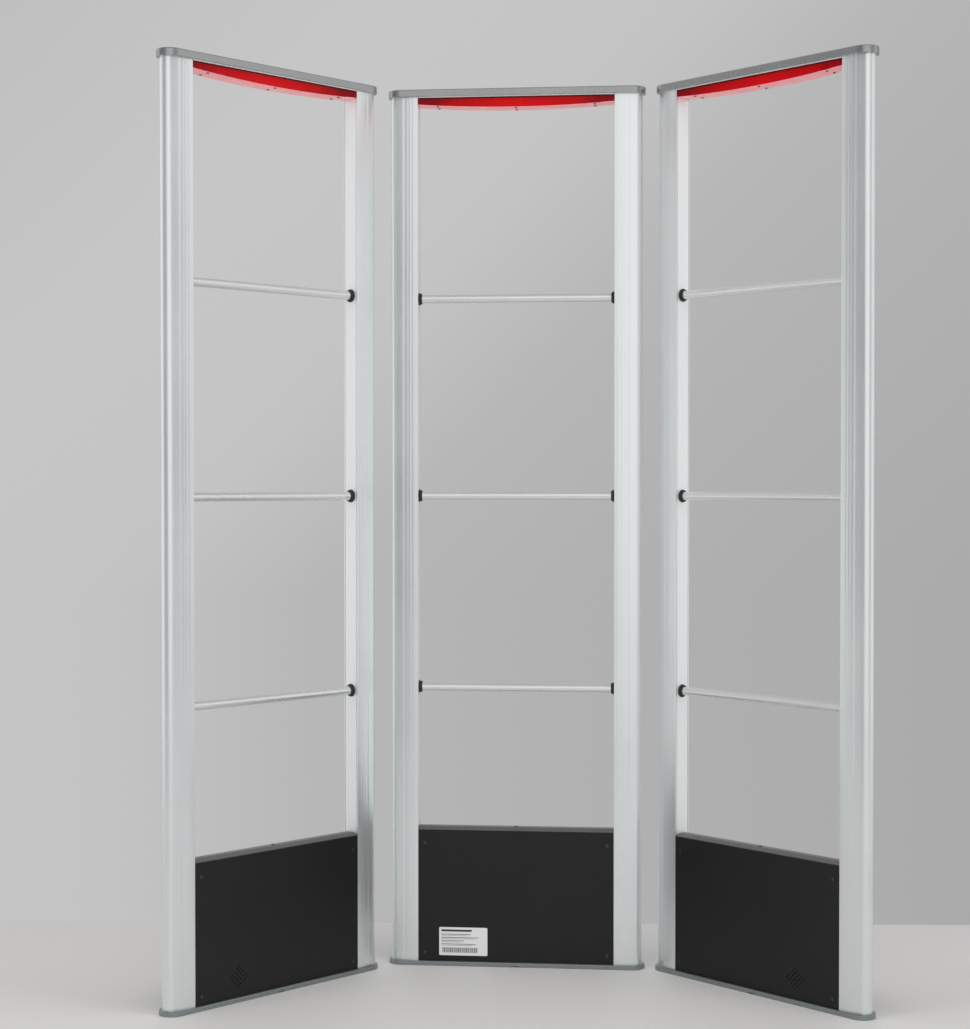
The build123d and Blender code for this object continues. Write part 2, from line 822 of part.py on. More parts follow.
save("grommets", make_grommets())
save("lamp_screws", make_lamp_screws())
save("lid_screws", make_lid_screws())
save("back_panel_screws", make_cover_screws([stand(pedestal) for pedestal in pedestals], back_y, -1))
save("standoffs", make_standoffs())
save("labels", make_labels())
save("antenna_loops", make_antenna_loops())
save("frame_screws", make_frame_screws())
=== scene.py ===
# %% [markdown]
# # A retail security gate
# Three detection pedestals stand together like a folding screen. Each has two fluted aluminium
# posts, three crossbars, a red alarm lamp under its cap and a black electronics box on a flat base.
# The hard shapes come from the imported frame. This lesson gives them their finishes, and builds the pieces
# whose look needs a finer mesh: rubber grommets, label print, speakers, circuit boards and the fittings
# of the power supplies.

import json
import math

import bmesh
import bpy
from mathutils import Matrix, Vector


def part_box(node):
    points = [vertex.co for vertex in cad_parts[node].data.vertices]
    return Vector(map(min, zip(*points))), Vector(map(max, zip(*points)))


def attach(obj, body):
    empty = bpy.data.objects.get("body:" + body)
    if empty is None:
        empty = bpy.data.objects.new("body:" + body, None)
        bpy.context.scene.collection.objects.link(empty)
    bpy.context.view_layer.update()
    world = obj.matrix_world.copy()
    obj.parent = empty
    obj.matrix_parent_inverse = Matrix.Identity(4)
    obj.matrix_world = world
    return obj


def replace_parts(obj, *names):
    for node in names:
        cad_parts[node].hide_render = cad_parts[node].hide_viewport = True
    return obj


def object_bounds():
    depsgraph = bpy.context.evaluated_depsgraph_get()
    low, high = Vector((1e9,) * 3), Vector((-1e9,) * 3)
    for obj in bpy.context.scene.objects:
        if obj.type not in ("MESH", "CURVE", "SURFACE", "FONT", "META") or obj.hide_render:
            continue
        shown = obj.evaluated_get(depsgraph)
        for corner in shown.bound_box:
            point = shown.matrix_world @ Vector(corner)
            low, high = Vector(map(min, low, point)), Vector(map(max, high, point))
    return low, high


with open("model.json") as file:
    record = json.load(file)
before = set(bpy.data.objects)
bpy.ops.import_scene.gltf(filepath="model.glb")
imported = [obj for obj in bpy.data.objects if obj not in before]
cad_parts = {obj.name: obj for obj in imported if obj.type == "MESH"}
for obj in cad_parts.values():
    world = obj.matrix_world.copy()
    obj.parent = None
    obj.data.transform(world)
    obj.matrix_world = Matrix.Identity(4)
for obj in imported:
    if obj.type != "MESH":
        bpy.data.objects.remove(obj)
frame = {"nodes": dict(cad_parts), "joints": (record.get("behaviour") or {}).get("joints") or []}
cad_low, cad_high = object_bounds()
nodes = frame["nodes"]
print("frame:", len(nodes), "nodes,", [round(s, 3) for s in cad_high - cad_low], "m")

# %% [markdown]
# ## Where each pedestal stands
# Every pedestal is the same product, so its pieces are drawn once, in its own directions: x along its
# width, y from its front to its back and z up. Its front direction is the way its front cover lifts
# off, which the joint says, and its middle is the middle of its base plate.

# %% Pedestal directions
PEDESTALS = ("left", "centre", "right")
SIDES = (-1, 1)


def place_of(pedestal):
    """The matrix from a pedestal's own directions to the frame's."""
    slide = next(j for j in frame["joints"] if j["name"] == f"{pedestal}_cover_slide")
    back = -Vector(slide["axis"])
    along = back.cross(Vector((0, 0, 1)))
    low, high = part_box(f"{pedestal}_base")
    middle = (low + high) / 2
    turn = Matrix((along, back, Vector((0, 0, 1)))).transposed().to_4x4()
    return Matrix.Translation((middle.x, middle.y, 0)) @ turn


places = {pedestal: place_of(pedestal) for pedestal in PEDESTALS}


def own_box(pedestal, node):
    """Lowest and highest corner of a node, in its pedestal's own directions."""
    inverse = places[pedestal].inverted()
    points = [inverse @ v.co for v in nodes[node].data.vertices]
    low = Vector(min(p[i] for p in points) for i in range(3))
    high = Vector(max(p[i] for p in points) for i in range(3))
    return low, high


for pedestal in PEDESTALS:
    spot = [round(c, 3) for c in places[pedestal].translation]
    turned = round(math.degrees(places[pedestal].to_euler().z), 1)
    print(pedestal, "stands at", spot, "turned", turned)

# %% [markdown]
# ## Camera
# A long lens a little above half height looks a touch downwards at the set, so the posts stay almost
# upright in the picture and the side pedestals fold in with little distortion. The aim is slightly to the
# left of the middle pedestal, done by turning the camera, not by shifting its lens, so that views from
# other sides stay centred. The standard view shows plain black covers as black and bright metal as bright.

# %% Camera
EYE_HEIGHT = 0.861
EYE_BACK = 3.209
AIM_LEFT = math.radians(0.949)
AIM_UP = math.radians(-1.027)
FOCAL_LENGTH = 66.37

camera_data = bpy.data.cameras.new("camera")
camera_data.lens = FOCAL_LENGTH
camera_data.sensor_width = 36.0
camera = bpy.data.objects.new("camera", camera_data)
camera.location = (0, -EYE_BACK, EYE_HEIGHT)
camera.rotation_euler = (math.radians(90) + AIM_UP, 0, AIM_LEFT)
bpy.context.scene.collection.objects.link(camera)
bpy.context.scene.camera = camera
bpy.context.scene.view_settings.view_transform = "Standard"
print("camera: lens", FOCAL_LENGTH, "mm at", tuple(round(c, 2) for c in camera.location))

# %% [markdown]
# ## Helpers for shader nodes
# The light and the finishes are both built from shader nodes. One helper makes a node and gives it its
# values by name, one makes a colour ramp and one a neutral colour, and they keep the later steps short.

# %% Node helpers


def node(tree, kind, **settings):
    """A new node with its settings, and with its input values given by name."""
    made = tree.nodes.new(kind)
    for name, value in settings.items():
        if hasattr(made, name):
            setattr(made, name, value)
        else:
            made.inputs[name.replace("_", " ")].default_value = value
    return made


def ramp(tree, source, stops):
    """A colour ramp fed by source. stops are (position, colour) pairs."""
    made = tree.nodes.new("ShaderNodeValToRGB")
    elements = made.color_ramp.elements
    while len(elements) < len(stops):
        elements.new(1.0)
    for element, (position, colour) in zip(elements, stops):
        element.position = position
        element.color = (*colour, 1.0)
    tree.links.new(source, made.inputs["Fac"])
    return made.outputs["Color"]


def grey(value):
    """A neutral colour."""
    return (value, value, value)


# %% [markdown]
# ## The room that the metal shows
# Satin aluminium shows whatever stands round it, so the surroundings matter as much as the finish. A
# picture of a studio could stand there, but a colour ramp that runs once round the room is smaller and
# can be tuned one heading at a time. Bright screens stand behind the viewer and at both sides, with darker
# gaps between them. A gently rounded post shows a range of headings, so it goes slowly from grey to bright
# across its face. The wall behind the set is mid grey and a little darker to the right. All of it leans
# over with height, and high above it passes into one grey ceiling.

# %% Room
# Headings round the room as (turn, brightness): 0 and 1 are behind the viewer, 0.5 is behind the set.
ROOM = (
    (0.0, 0.90), (0.03, 0.86), (0.052, 0.32), (0.19, 0.34), (0.232, 0.86), (0.25, 0.95), (0.30, 0.92),
    (0.36, 0.44), (0.45, 0.567), (0.475, 0.552), (0.493, 0.473), (0.51, 0.445), (0.548, 0.402),
    (0.57, 0.40), (0.66, 0.52), (0.72, 0.90), (0.76, 0.92), (0.785, 0.46), (0.845, 0.46), (0.91, 1.0),
    (1.0, 0.90),
)
LIGHT_FALL = 0.16            # how far the shading of the room leans over with height
# Heights are those of a sight line: 0 is level and 1 is straight up.
LEAN_FROM = -0.06
LEAN_TO = 0.25
CEILING = 0.40
CEILING_FROM = 0.45
CEILING_TO = 0.85

world = bpy.data.worlds.new("studio")
bpy.context.scene.world = world
world.use_nodes = True
world_tree = world.node_tree
backing = world_tree.nodes["Background"]
direction = world_tree.nodes.new("ShaderNodeTexCoord")
split = world_tree.nodes.new("ShaderNodeSeparateXYZ")
world_tree.links.new(direction.outputs["Generated"], split.inputs[0])
heading = node(world_tree, "ShaderNodeMath", operation="ARCTAN2")
world_tree.links.new(split.outputs["X"], heading.inputs[0])
world_tree.links.new(split.outputs["Y"], heading.inputs[1])
around = node(world_tree, "ShaderNodeMapRange", From_Min=-math.pi, From_Max=math.pi)
world_tree.links.new(heading.outputs[0], around.inputs["Value"])
lean = node(world_tree, "ShaderNodeMapRange", From_Min=LEAN_FROM, From_Max=LEAN_TO)
lean.inputs["To Min"].default_value = -LEAN_FROM * LIGHT_FALL
lean.inputs["To Max"].default_value = -LEAN_TO * LIGHT_FALL
world_tree.links.new(split.outputs["Z"], lean.inputs["Value"])
leaning = node(world_tree, "ShaderNodeMath", operation="ADD")
world_tree.links.new(around.outputs["Result"], leaning.inputs[0])
world_tree.links.new(lean.outputs["Result"], leaning.inputs[1])
room_shade = ramp(world_tree, leaning.outputs[0], [(turn, grey(bright)) for turn, bright in ROOM])
overhead = node(world_tree, "ShaderNodeMapRange", From_Min=CEILING_FROM, From_Max=CEILING_TO)
world_tree.links.new(split.outputs["Z"], overhead.inputs["Value"])
with_ceiling = node(world_tree, "ShaderNodeMix", data_type="RGBA")
world_tree.links.new(overhead.outputs["Result"], with_ceiling.inputs["Factor"])
world_tree.links.new(room_shade, with_ceiling.inputs["A"])
with_ceiling.inputs["B"].default_value = (*grey(CEILING), 1)
world_tree.links.new(with_ceiling.outputs["Result"], backing.inputs["Color"])
backing.inputs["Strength"].default_value = 1.0
print("room:", len(ROOM), "headings, from", min(b for _, b in ROOM), "to", max(b for _, b in ROOM))

# %% [markdown]
# ## Floor and lamps
# The floor is one plain pale slab that ends a little behind the set. Floor, rubber and print scatter light
# more than they mirror it, so lamps help the room to light them: one at each side, a stronger one overhead
# that keeps the shadows short, and a weak one behind. They are hidden from reflections, so that metal
# shows the room and not a lamp.

# %% Floor and lamps
FLOOR_HALF_WIDTH = 3.2
FLOOR_FRONT = -3.6
FLOOR_BACK_GAP = 0.275
FLOOR_THICKNESS = 0.03
FLOOR_COLOUR = (0.60, 0.592, 0.585)
# Lamps as name, place, aim, width, height, power in watts.
LAMPS = (
    ("left_panel", (-2.6, -1.6, 1.3), (0, 0.1, 0.8), 0.9, 2.4, 22),
    ("right_panel", (2.6, -1.6, 1.3), (0, 0.1, 0.8), 0.9, 2.4, 22),
    ("top_panel", (0, -0.8, 3.2), (0, 0, 0.6), 2.4, 1.6, 48),
    ("back_panel_light", (0, 3.0, 2.0), (0, 0, 0.8), 2.6, 1.6, 14),
)


def slab(name, low, high):
    """A plain block between two corners."""
    mesh = bpy.data.meshes.new(name)
    block = bmesh.new()
    bmesh.ops.create_cube(block, size=1.0)
    for vertex in block.verts:
        vertex.co = [low[i] + (vertex.co[i] + 0.5) * (high[i] - low[i]) for i in range(3)]
    block.to_mesh(mesh)
    block.free()
    made = bpy.data.objects.new(name, mesh)
    bpy.context.scene.collection.objects.link(made)
    return made


floor = slab(
    "floor",
    (-FLOOR_HALF_WIDTH, FLOOR_FRONT, -FLOOR_THICKNESS),
    (FLOOR_HALF_WIDTH, cad_high.y + FLOOR_BACK_GAP, 0),
)
floor_finish = bpy.data.materials.new("pale_floor")
floor_finish.use_nodes = True
floor_surface = floor_finish.node_tree.nodes["Principled BSDF"]
floor_surface.inputs["Base Color"].default_value = (*FLOOR_COLOUR, 1)
floor_surface.inputs["Roughness"].default_value = 0.6
floor.data.materials.append(floor_finish)


def light_box(name, spot, aim, width, height, power):
    """A soft rectangular light at spot, facing aim."""
    data = bpy.data.lights.new(name, "AREA")
    data.shape = "RECTANGLE"
    data.size = width
    data.size_y = height
    data.energy = power
    made = bpy.data.objects.new(name, data)
    made.location = spot
    made.rotation_euler = (Vector(aim) - Vector(spot)).to_track_quat("-Z", "Y").to_euler()
    made.visible_glossy = False
    bpy.context.scene.collection.objects.link(made)


for lamp in LAMPS:
    light_box(*lamp)
print("studio: floor", [round(s, 2) for s in floor.dimensions], "and", len(bpy.data.lights), "soft lights")

# %% [markdown]
# ## One starting point for every finish
# Each finish starts from the same few lines: a Principled surface with its base values, and a texture
# coordinate in the piece's own space, so a pattern travels with a cover when the cover is lifted off.

# %% Finish helper


def start_finish(name, colour, metallic, roughness):
    """A new material. Returns it with its node tree, its surface shader and its coordinate output."""
    finish = bpy.data.materials.new(name)
    finish.use_nodes = True
    tree = finish.node_tree
    surface = tree.nodes["Principled BSDF"]
    surface.inputs["Base Color"].default_value = (*colour, 1)
    surface.inputs["Metallic"].default_value = metallic
    surface.inputs["Roughness"].default_value = roughness
    coordinate = tree.nodes.new("ShaderNodeTexCoord").outputs["Object"]
    return finish, tree, surface, coordinate


def noise(tree, coordinate, scale, detail=3.0, stretch=(1, 1, 1)):
    """Noise of a given number of features per metre, stretched along an axis by a small factor."""
    mapping = tree.nodes.new("ShaderNodeMapping")
    mapping.inputs["Scale"].default_value = [scale * s for s in stretch]
    tree.links.new(coordinate, mapping.inputs["Vector"])
    made = node(tree, "ShaderNodeTexNoise", Scale=1.0, Detail=detail)
    tree.links.new(mapping.outputs["Vector"], made.inputs["Vector"])
    return made.outputs["Fac"]


def tint(tree, surface, amount, dark, light):
    """Colours the surface between two shades by amount."""
    tree.links.new(ramp(tree, amount, [(0.3, dark), (0.7, light)]), surface.inputs["Base Color"])


def vary_roughness(tree, surface, amount, low, high):
    """Makes the surface smoother and rougher by amount."""
    spread = node(tree, "ShaderNodeMapRange", From_Min=0.3, From_Max=0.7, To_Min=low, To_Max=high)
    tree.links.new(amount, spread.inputs["Value"])
    tree.links.new(spread.outputs["Result"], surface.inputs["Roughness"])


def bump(tree, surface, height, distance, strength=1.0):
    """Raises and lowers the surface by height, over a distance in metres."""
    made = node(tree, "ShaderNodeBump", Strength=strength, Distance=distance)
    tree.links.new(height, made.inputs["Height"])
    tree.links.new(made.outputs["Normal"], surface.inputs["Normal"])


# %% [markdown]
# ## Satin anodised aluminium
# The posts are extruded, so the die leaves hair-fine lines along their length, and anodising turns the
# shine into a soft grey sheen. A noise squeezed across the post and drawn out along z gives those lines.
# A slow second noise shifts the tone a little from place to place, as real anodising does. The crossbars
# are drawn tube, so their lines run across the pedestal, and the strips are paler and less metallic.

# %% Posts, strips and bars


def anodised(name, dark, light, roughness, stretch, metallic=0.9):
    """Aluminium between two shades, with fine lines along one direction and slow clouds."""
    finish, tree, surface, coordinate = start_finish(name, light, metallic, roughness)
    lines = noise(tree, coordinate, 1400, 2.0, stretch)
    clouds = noise(tree, coordinate, 6, 3.0)
    tone = node(tree, "ShaderNodeMath", operation="MULTIPLY_ADD")
    tone.inputs[1].default_value = 0.5
    tree.links.new(lines, tone.inputs[0])
    half_clouds = node(tree, "ShaderNodeMath", operation="MULTIPLY")
    half_clouds.inputs[1].default_value = 0.5
    tree.links.new(clouds, half_clouds.inputs[0])
    tree.links.new(half_clouds.outputs[0], tone.inputs[2])
    tint(tree, surface, tone.outputs[0], dark, light)
    vary_roughness(tree, surface, tone.outputs[0], roughness - 0.05, roughness + 0.06)
    bump(tree, surface, lines, 0.00003, 0.35)
    return finish


ALONG_Z = (1, 1, 0.004)
post_finish = anodised("satin_post", (0.80, 0.835, 0.845), (0.885, 0.915, 0.92), 0.32, ALONG_Z)
strip_finish = anodised("pale_strip", (0.86, 0.875, 0.885), (0.92, 0.935, 0.94), 0.42, ALONG_Z, 0.6)
bar_finish = anodised("satin_bar", (0.82, 0.83, 0.84), (0.90, 0.91, 0.915), 0.30, (0.2, 0.2, 1))
print("anodised:", post_finish.name, strip_finish.name, bar_finish.name)

# %% [markdown]
# ## Painted and coated sheet
# Cap, base plate and box covers are powder coated. Powder melts into a skin with a fine orange peel,
# which is a bump of a few features per millimetre, and the covers carry a coarser leather-like grain.

# %% Coated finishes


def coated(name, dark, light, roughness, grain=2200, depth=0.00004, metallic=0.0):
    """A skin between two shades. grain is its bumps per metre, and depth how far they rise, in metres."""
    finish, tree, surface, coordinate = start_finish(name, light, metallic, roughness)
    fine = noise(tree, coordinate, grain, 2.0)
    broad = noise(tree, coordinate, 9, 4.0)
    mixed = node(tree, "ShaderNodeMix", data_type="FLOAT", Factor=0.35)
    tree.links.new(broad, mixed.inputs[2])
    tree.links.new(fine, mixed.inputs[3])
    tint(tree, surface, mixed.outputs[0], dark, light)
    vary_roughness(tree, surface, fine, roughness - 0.06, roughness + 0.06)
    bump(tree, surface, fine, depth, 0.6)
    return finish


BLACK = (0.0025, 0.0025, 0.0035)
SOFT_BLACK = (0.0050, 0.0050, 0.0065)

cap_finish = coated("grey_cap", (0.36, 0.365, 0.37), (0.39, 0.395, 0.40), 0.26, 2200, 0.000004, 0.95)
base_finish = coated("dark_base", (0.27, 0.295, 0.30), (0.31, 0.34, 0.345), 0.30, 2200, 0.000006, 0.85)
panel_finish = coated("black_cover", BLACK, SOFT_BLACK, 0.42, 1500, 0.00006)
panel_finish.node_tree.nodes["Principled BSDF"].inputs["Specular IOR Level"].default_value = 0.42
lid_finish = coated("brown_lid", (0.14, 0.128, 0.127), (0.175, 0.162, 0.160), 0.30, 2200, 0.000008, 0.7)
chassis_finish = coated("plated_chassis", (0.42, 0.43, 0.42), (0.56, 0.57, 0.55), 0.35, 300, 0.00001, 0.9)
case_finish = coated("pressed_case", (0.50, 0.51, 0.51), (0.62, 0.63, 0.63), 0.4, 500, 0.00002, 0.8)
print("coated:", cap_finish.name, base_finish.name, panel_finish.name, lid_finish.name, "and two inside")

# %% [markdown]
# ## The red lamp
# The lens is red acrylic over a white board. Its red is painted: it deepens towards the ends as painted
# shade, where the posts shade it, and is brightest in the middle as painted light from the board behind it.
# It is also darker along its top edge, and its underside is frosted, so it reads as pink. A faint painted
# glow lights face and underside, though the lamp is not lit. The shades follow the lens's own length and
# height, and which way a face points.

# %% Lens
# Face colours as (distance from the middle, colour), where the ends are at 1. The deeper reds towards the
# ends are painted shade.
LENS_REDS_AND_PAINTED_SHADE = ((0.2, (0.50, 0.001, 0.003)), (0.75, (0.38, 0.0, 0.003)), (1.0, (0.17, 0.0, 0.003)))
TOP_EDGE_RED = (0.05, 0.0, 0.001)
FROSTED_PINKS = ((0.3, (0.78, 0.27, 0.29)), (0.7, (0.86, 0.36, 0.38)))
# A faint painted glow on face and underside, though the lamp is not lit.
PAINTED_FACE_GLOW = (0.10, 0.0, 0.0)
PAINTED_FROSTED_GLOW = (0.85, 0.30, 0.32)
PAINTED_GLOW_STRENGTH = 0.26
# The dark top edge fades in between these two depths below the lens's top, in metres.
EDGE_START = 0.0036
EDGE_END = 0.0016


def make_lens_finish(pedestal):
    """The red of one lens, with painted shade towards its ends and a painted glow. Its heights come from
    that lens's own box.
    """
    low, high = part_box(f"{pedestal}_lens")
    finish, tree, surface, coordinate = start_finish(f"red_lens_with_painted_light_{pedestal}", (0.6, 0.0, 0.01), 0.0, 0.16)
    generated = coordinate.node.outputs["Generated"]
    parts = tree.nodes.new("ShaderNodeSeparateXYZ")
    tree.links.new(generated, parts.inputs[0])
    from_middle = node(tree, "ShaderNodeMath", operation="MULTIPLY_ADD")
    from_middle.inputs[1].default_value = 2.0
    from_middle.inputs[2].default_value = -1.0
    tree.links.new(parts.outputs["X"], from_middle.inputs[0])
    distance = node(tree, "ShaderNodeMath", operation="ABSOLUTE")
    tree.links.new(from_middle.outputs[0], distance.inputs[0])
    streaks = noise(tree, coordinate, 40, 2.0)
    streaks_and_end_shade = node(tree, "ShaderNodeMath", operation="MULTIPLY_ADD")
    streaks_and_end_shade.inputs[1].default_value = 0.35
    tree.links.new(streaks, streaks_and_end_shade.inputs[0])
    tree.links.new(distance.outputs[0], streaks_and_end_shade.inputs[2])
    # The red deepens towards the ends: painted shade where the posts shade the lens, and painted light from
    # the board in the middle.
    face = ramp(tree, streaks_and_end_shade.outputs[0], LENS_REDS_AND_PAINTED_SHADE)
    heights = tree.nodes.new("ShaderNodeSeparateXYZ")
    tree.links.new(coordinate, heights.inputs[0])
    top_edge = node(tree, "ShaderNodeMapRange", From_Min=high.z - EDGE_START, From_Max=high.z - EDGE_END)
    tree.links.new(heights.outputs["Z"], top_edge.inputs["Value"])
    with_edge = node(tree, "ShaderNodeMix", data_type="RGBA")
    tree.links.new(top_edge.outputs["Result"], with_edge.inputs["Factor"])
    tree.links.new(face, with_edge.inputs["A"])
    with_edge.inputs["B"].default_value = (*TOP_EDGE_RED, 1)
    facing = tree.nodes.new("ShaderNodeSeparateXYZ")
    tree.links.new(coordinate.node.outputs["Normal"], facing.inputs[0])
    downwards = node(tree, "ShaderNodeMapRange", From_Min=-0.55, From_Max=-0.85)
    tree.links.new(facing.outputs["Z"], downwards.inputs["Value"])
    frosted = ramp(tree, streaks, FROSTED_PINKS)
    whole = node(tree, "ShaderNodeMix", data_type="RGBA")
    tree.links.new(downwards.outputs["Result"], whole.inputs["Factor"])
    tree.links.new(with_edge.outputs["Result"], whole.inputs["A"])
    tree.links.new(frosted, whole.inputs["B"])
    tree.links.new(whole.outputs["Result"], surface.inputs["Base Color"])
    # Painted glow: the unlit lens is made to give off light.
    painted_glow = node(tree, "ShaderNodeMix", data_type="RGBA")
    tree.links.new(downwards.outputs["Result"], painted_glow.inputs["Factor"])
    painted_glow.inputs["A"].default_value = (*PAINTED_FACE_GLOW, 1)
    painted_glow.inputs["B"].default_value = (*PAINTED_FROSTED_GLOW, 1)
    tree.links.new(painted_glow.outputs["Result"], surface.inputs["Emission Color"])
    surface.inputs["Emission Strength"].default_value = PAINTED_GLOW_STRENGTH
    surface.inputs["Specular IOR Level"].default_value = 0.12
    return finish


lens_finishes = {pedestal: make_lens_finish(pedestal) for pedestal in PEDESTALS}
lamp_board_finish = coated("white_lamp_board", (0.80, 0.76, 0.75), (0.88, 0.85, 0.84), 0.4, 700, 0.00001)
print("lenses:", [finish.name for finish in lens_finishes.values()])

# %% [markdown]
# ## Small parts
# Screws, standoffs and boards are small, but they are what a close look finds first. Steel, brass and
# copper mirror the room in their own colour, which is what a metallic value does. Rubber, film and board
# keep their colour to the light they scatter, so they have none, and roughness sets how sharp they shine.

# %% Small finishes
dark_screw_finish = coated(
    "dark_screw", (0.05, 0.045, 0.045), (0.10, 0.095, 0.095), 0.3, 1200, 0.00001, 0.9
)
black_screw_finish = coated(
    "black_screw", (0.05, 0.05, 0.053), (0.09, 0.09, 0.094), 0.35, 1200, 0.00001, 0.7
)
steel_screw_finish = coated("steel_screw", (0.50, 0.51, 0.52), (0.65, 0.66, 0.67), 0.25, 1200, 0.00001, 1.0)
brass_finish = coated("brass_pillar", (0.55, 0.40, 0.16), (0.70, 0.53, 0.25), 0.28, 1500, 0.00001, 1.0)
copper_finish = coated("copper_loop", (0.60, 0.28, 0.15), (0.72, 0.38, 0.22), 0.3, 800, 0.00001, 1.0)
rubber_finish = coated("black_rubber", (0.010, 0.010, 0.011), (0.020, 0.020, 0.021), 0.55, 3000, 0.00003)
speaker_finish = coated("speaker_cone", (0.02, 0.02, 0.02), (0.045, 0.045, 0.045), 0.75, 4000, 0.00008)
board_finish = coated("green_board", (0.008, 0.085, 0.035), (0.014, 0.13, 0.055), 0.3, 900, 0.00001)
trimmer_finish = coated("cream_trimmer", (0.70, 0.66, 0.55), (0.82, 0.78, 0.68), 0.4, 900, 0.00001)
label_finish = coated("label_film", (0.76, 0.76, 0.755), (0.84, 0.84, 0.835), 0.35, 1200, 0.00001)
ink_finish = coated("label_ink", (0.03, 0.03, 0.032), (0.06, 0.06, 0.062), 0.4, 1200, 0.00001)
print("finishes so far:", len(bpy.data.materials))

# %% [markdown]
# ## Dressing the frame
# The CAD pieces arrive in plain finishes. Most belong to one pedestal and are named after it, so one table
# serves all three, and each lens gets a red of its own. Small repeated parts are shared by the whole set
# and have a second table.

# %% Give each frame node its finish
BY_PIECE = {
    "base": base_finish,
    "cap": cap_finish,
    "left_post": post_finish,
    "right_post": post_finish,
    "channel_strips": strip_finish,
    "crossbars": bar_finish,
    "lamp_board": lamp_board_finish,
    "chassis": chassis_finish,
    "lid": lid_finish,
    "front_panel": panel_finish,
    "back_panel": panel_finish,
    "front_panel_screws": black_screw_finish,
    "main_board": board_finish,
    "power_supply": case_finish,
    "speaker": speaker_finish,
    "trimmer_knob": trimmer_finish,
}
SHARED = {
    "grommets": rubber_finish,
    "lamp_screws": dark_screw_finish,
    "lid_screws": dark_screw_finish,
    "back_panel_screws": black_screw_finish,
    "standoffs": brass_finish,
    "labels": label_finish,
    "antenna_loops": copper_finish,
    "frame_screws": steel_screw_finish,
}


def dress(node_name, finish):
    """Puts one finish on a frame node, in place of the plain one it came with."""
    materials = nodes[node_name].data.materials
    materials.clear()
    materials.append(finish)


for pedestal in PEDESTALS:
    for piece, finish in BY_PIECE.items():
        dress(f"{pedestal}_{piece}", finish)
    dress(f"{pedestal}_lens", lens_finishes[pedestal])
for name, finish in SHARED.items():
    dress(name, finish)
print("dressed", len(PEDESTALS) * (len(BY_PIECE) + 1) + len(SHARED), "of", len(nodes), "nodes")

# %% [markdown]
# ## A small workbench
# The pieces below are too fine for the CAD part: moulded rubber, print, and parts soldered to a board.
# Each is built on a bench, which is a flat face of the pedestal: x runs along it, z up it, and lift is the
# distance out from it, all in millimetres. A bench knows three moves, a block, a flat strip and a turned
# shape, and they are enough for nearly every small part, because factories mould, etch and turn them too.
# Each finish gathers in a mesh of its own until the piece is done, and that keeps the finishes apart.

# %% Bench
MM = 0.001
SHARP_CORNER = math.radians(35)


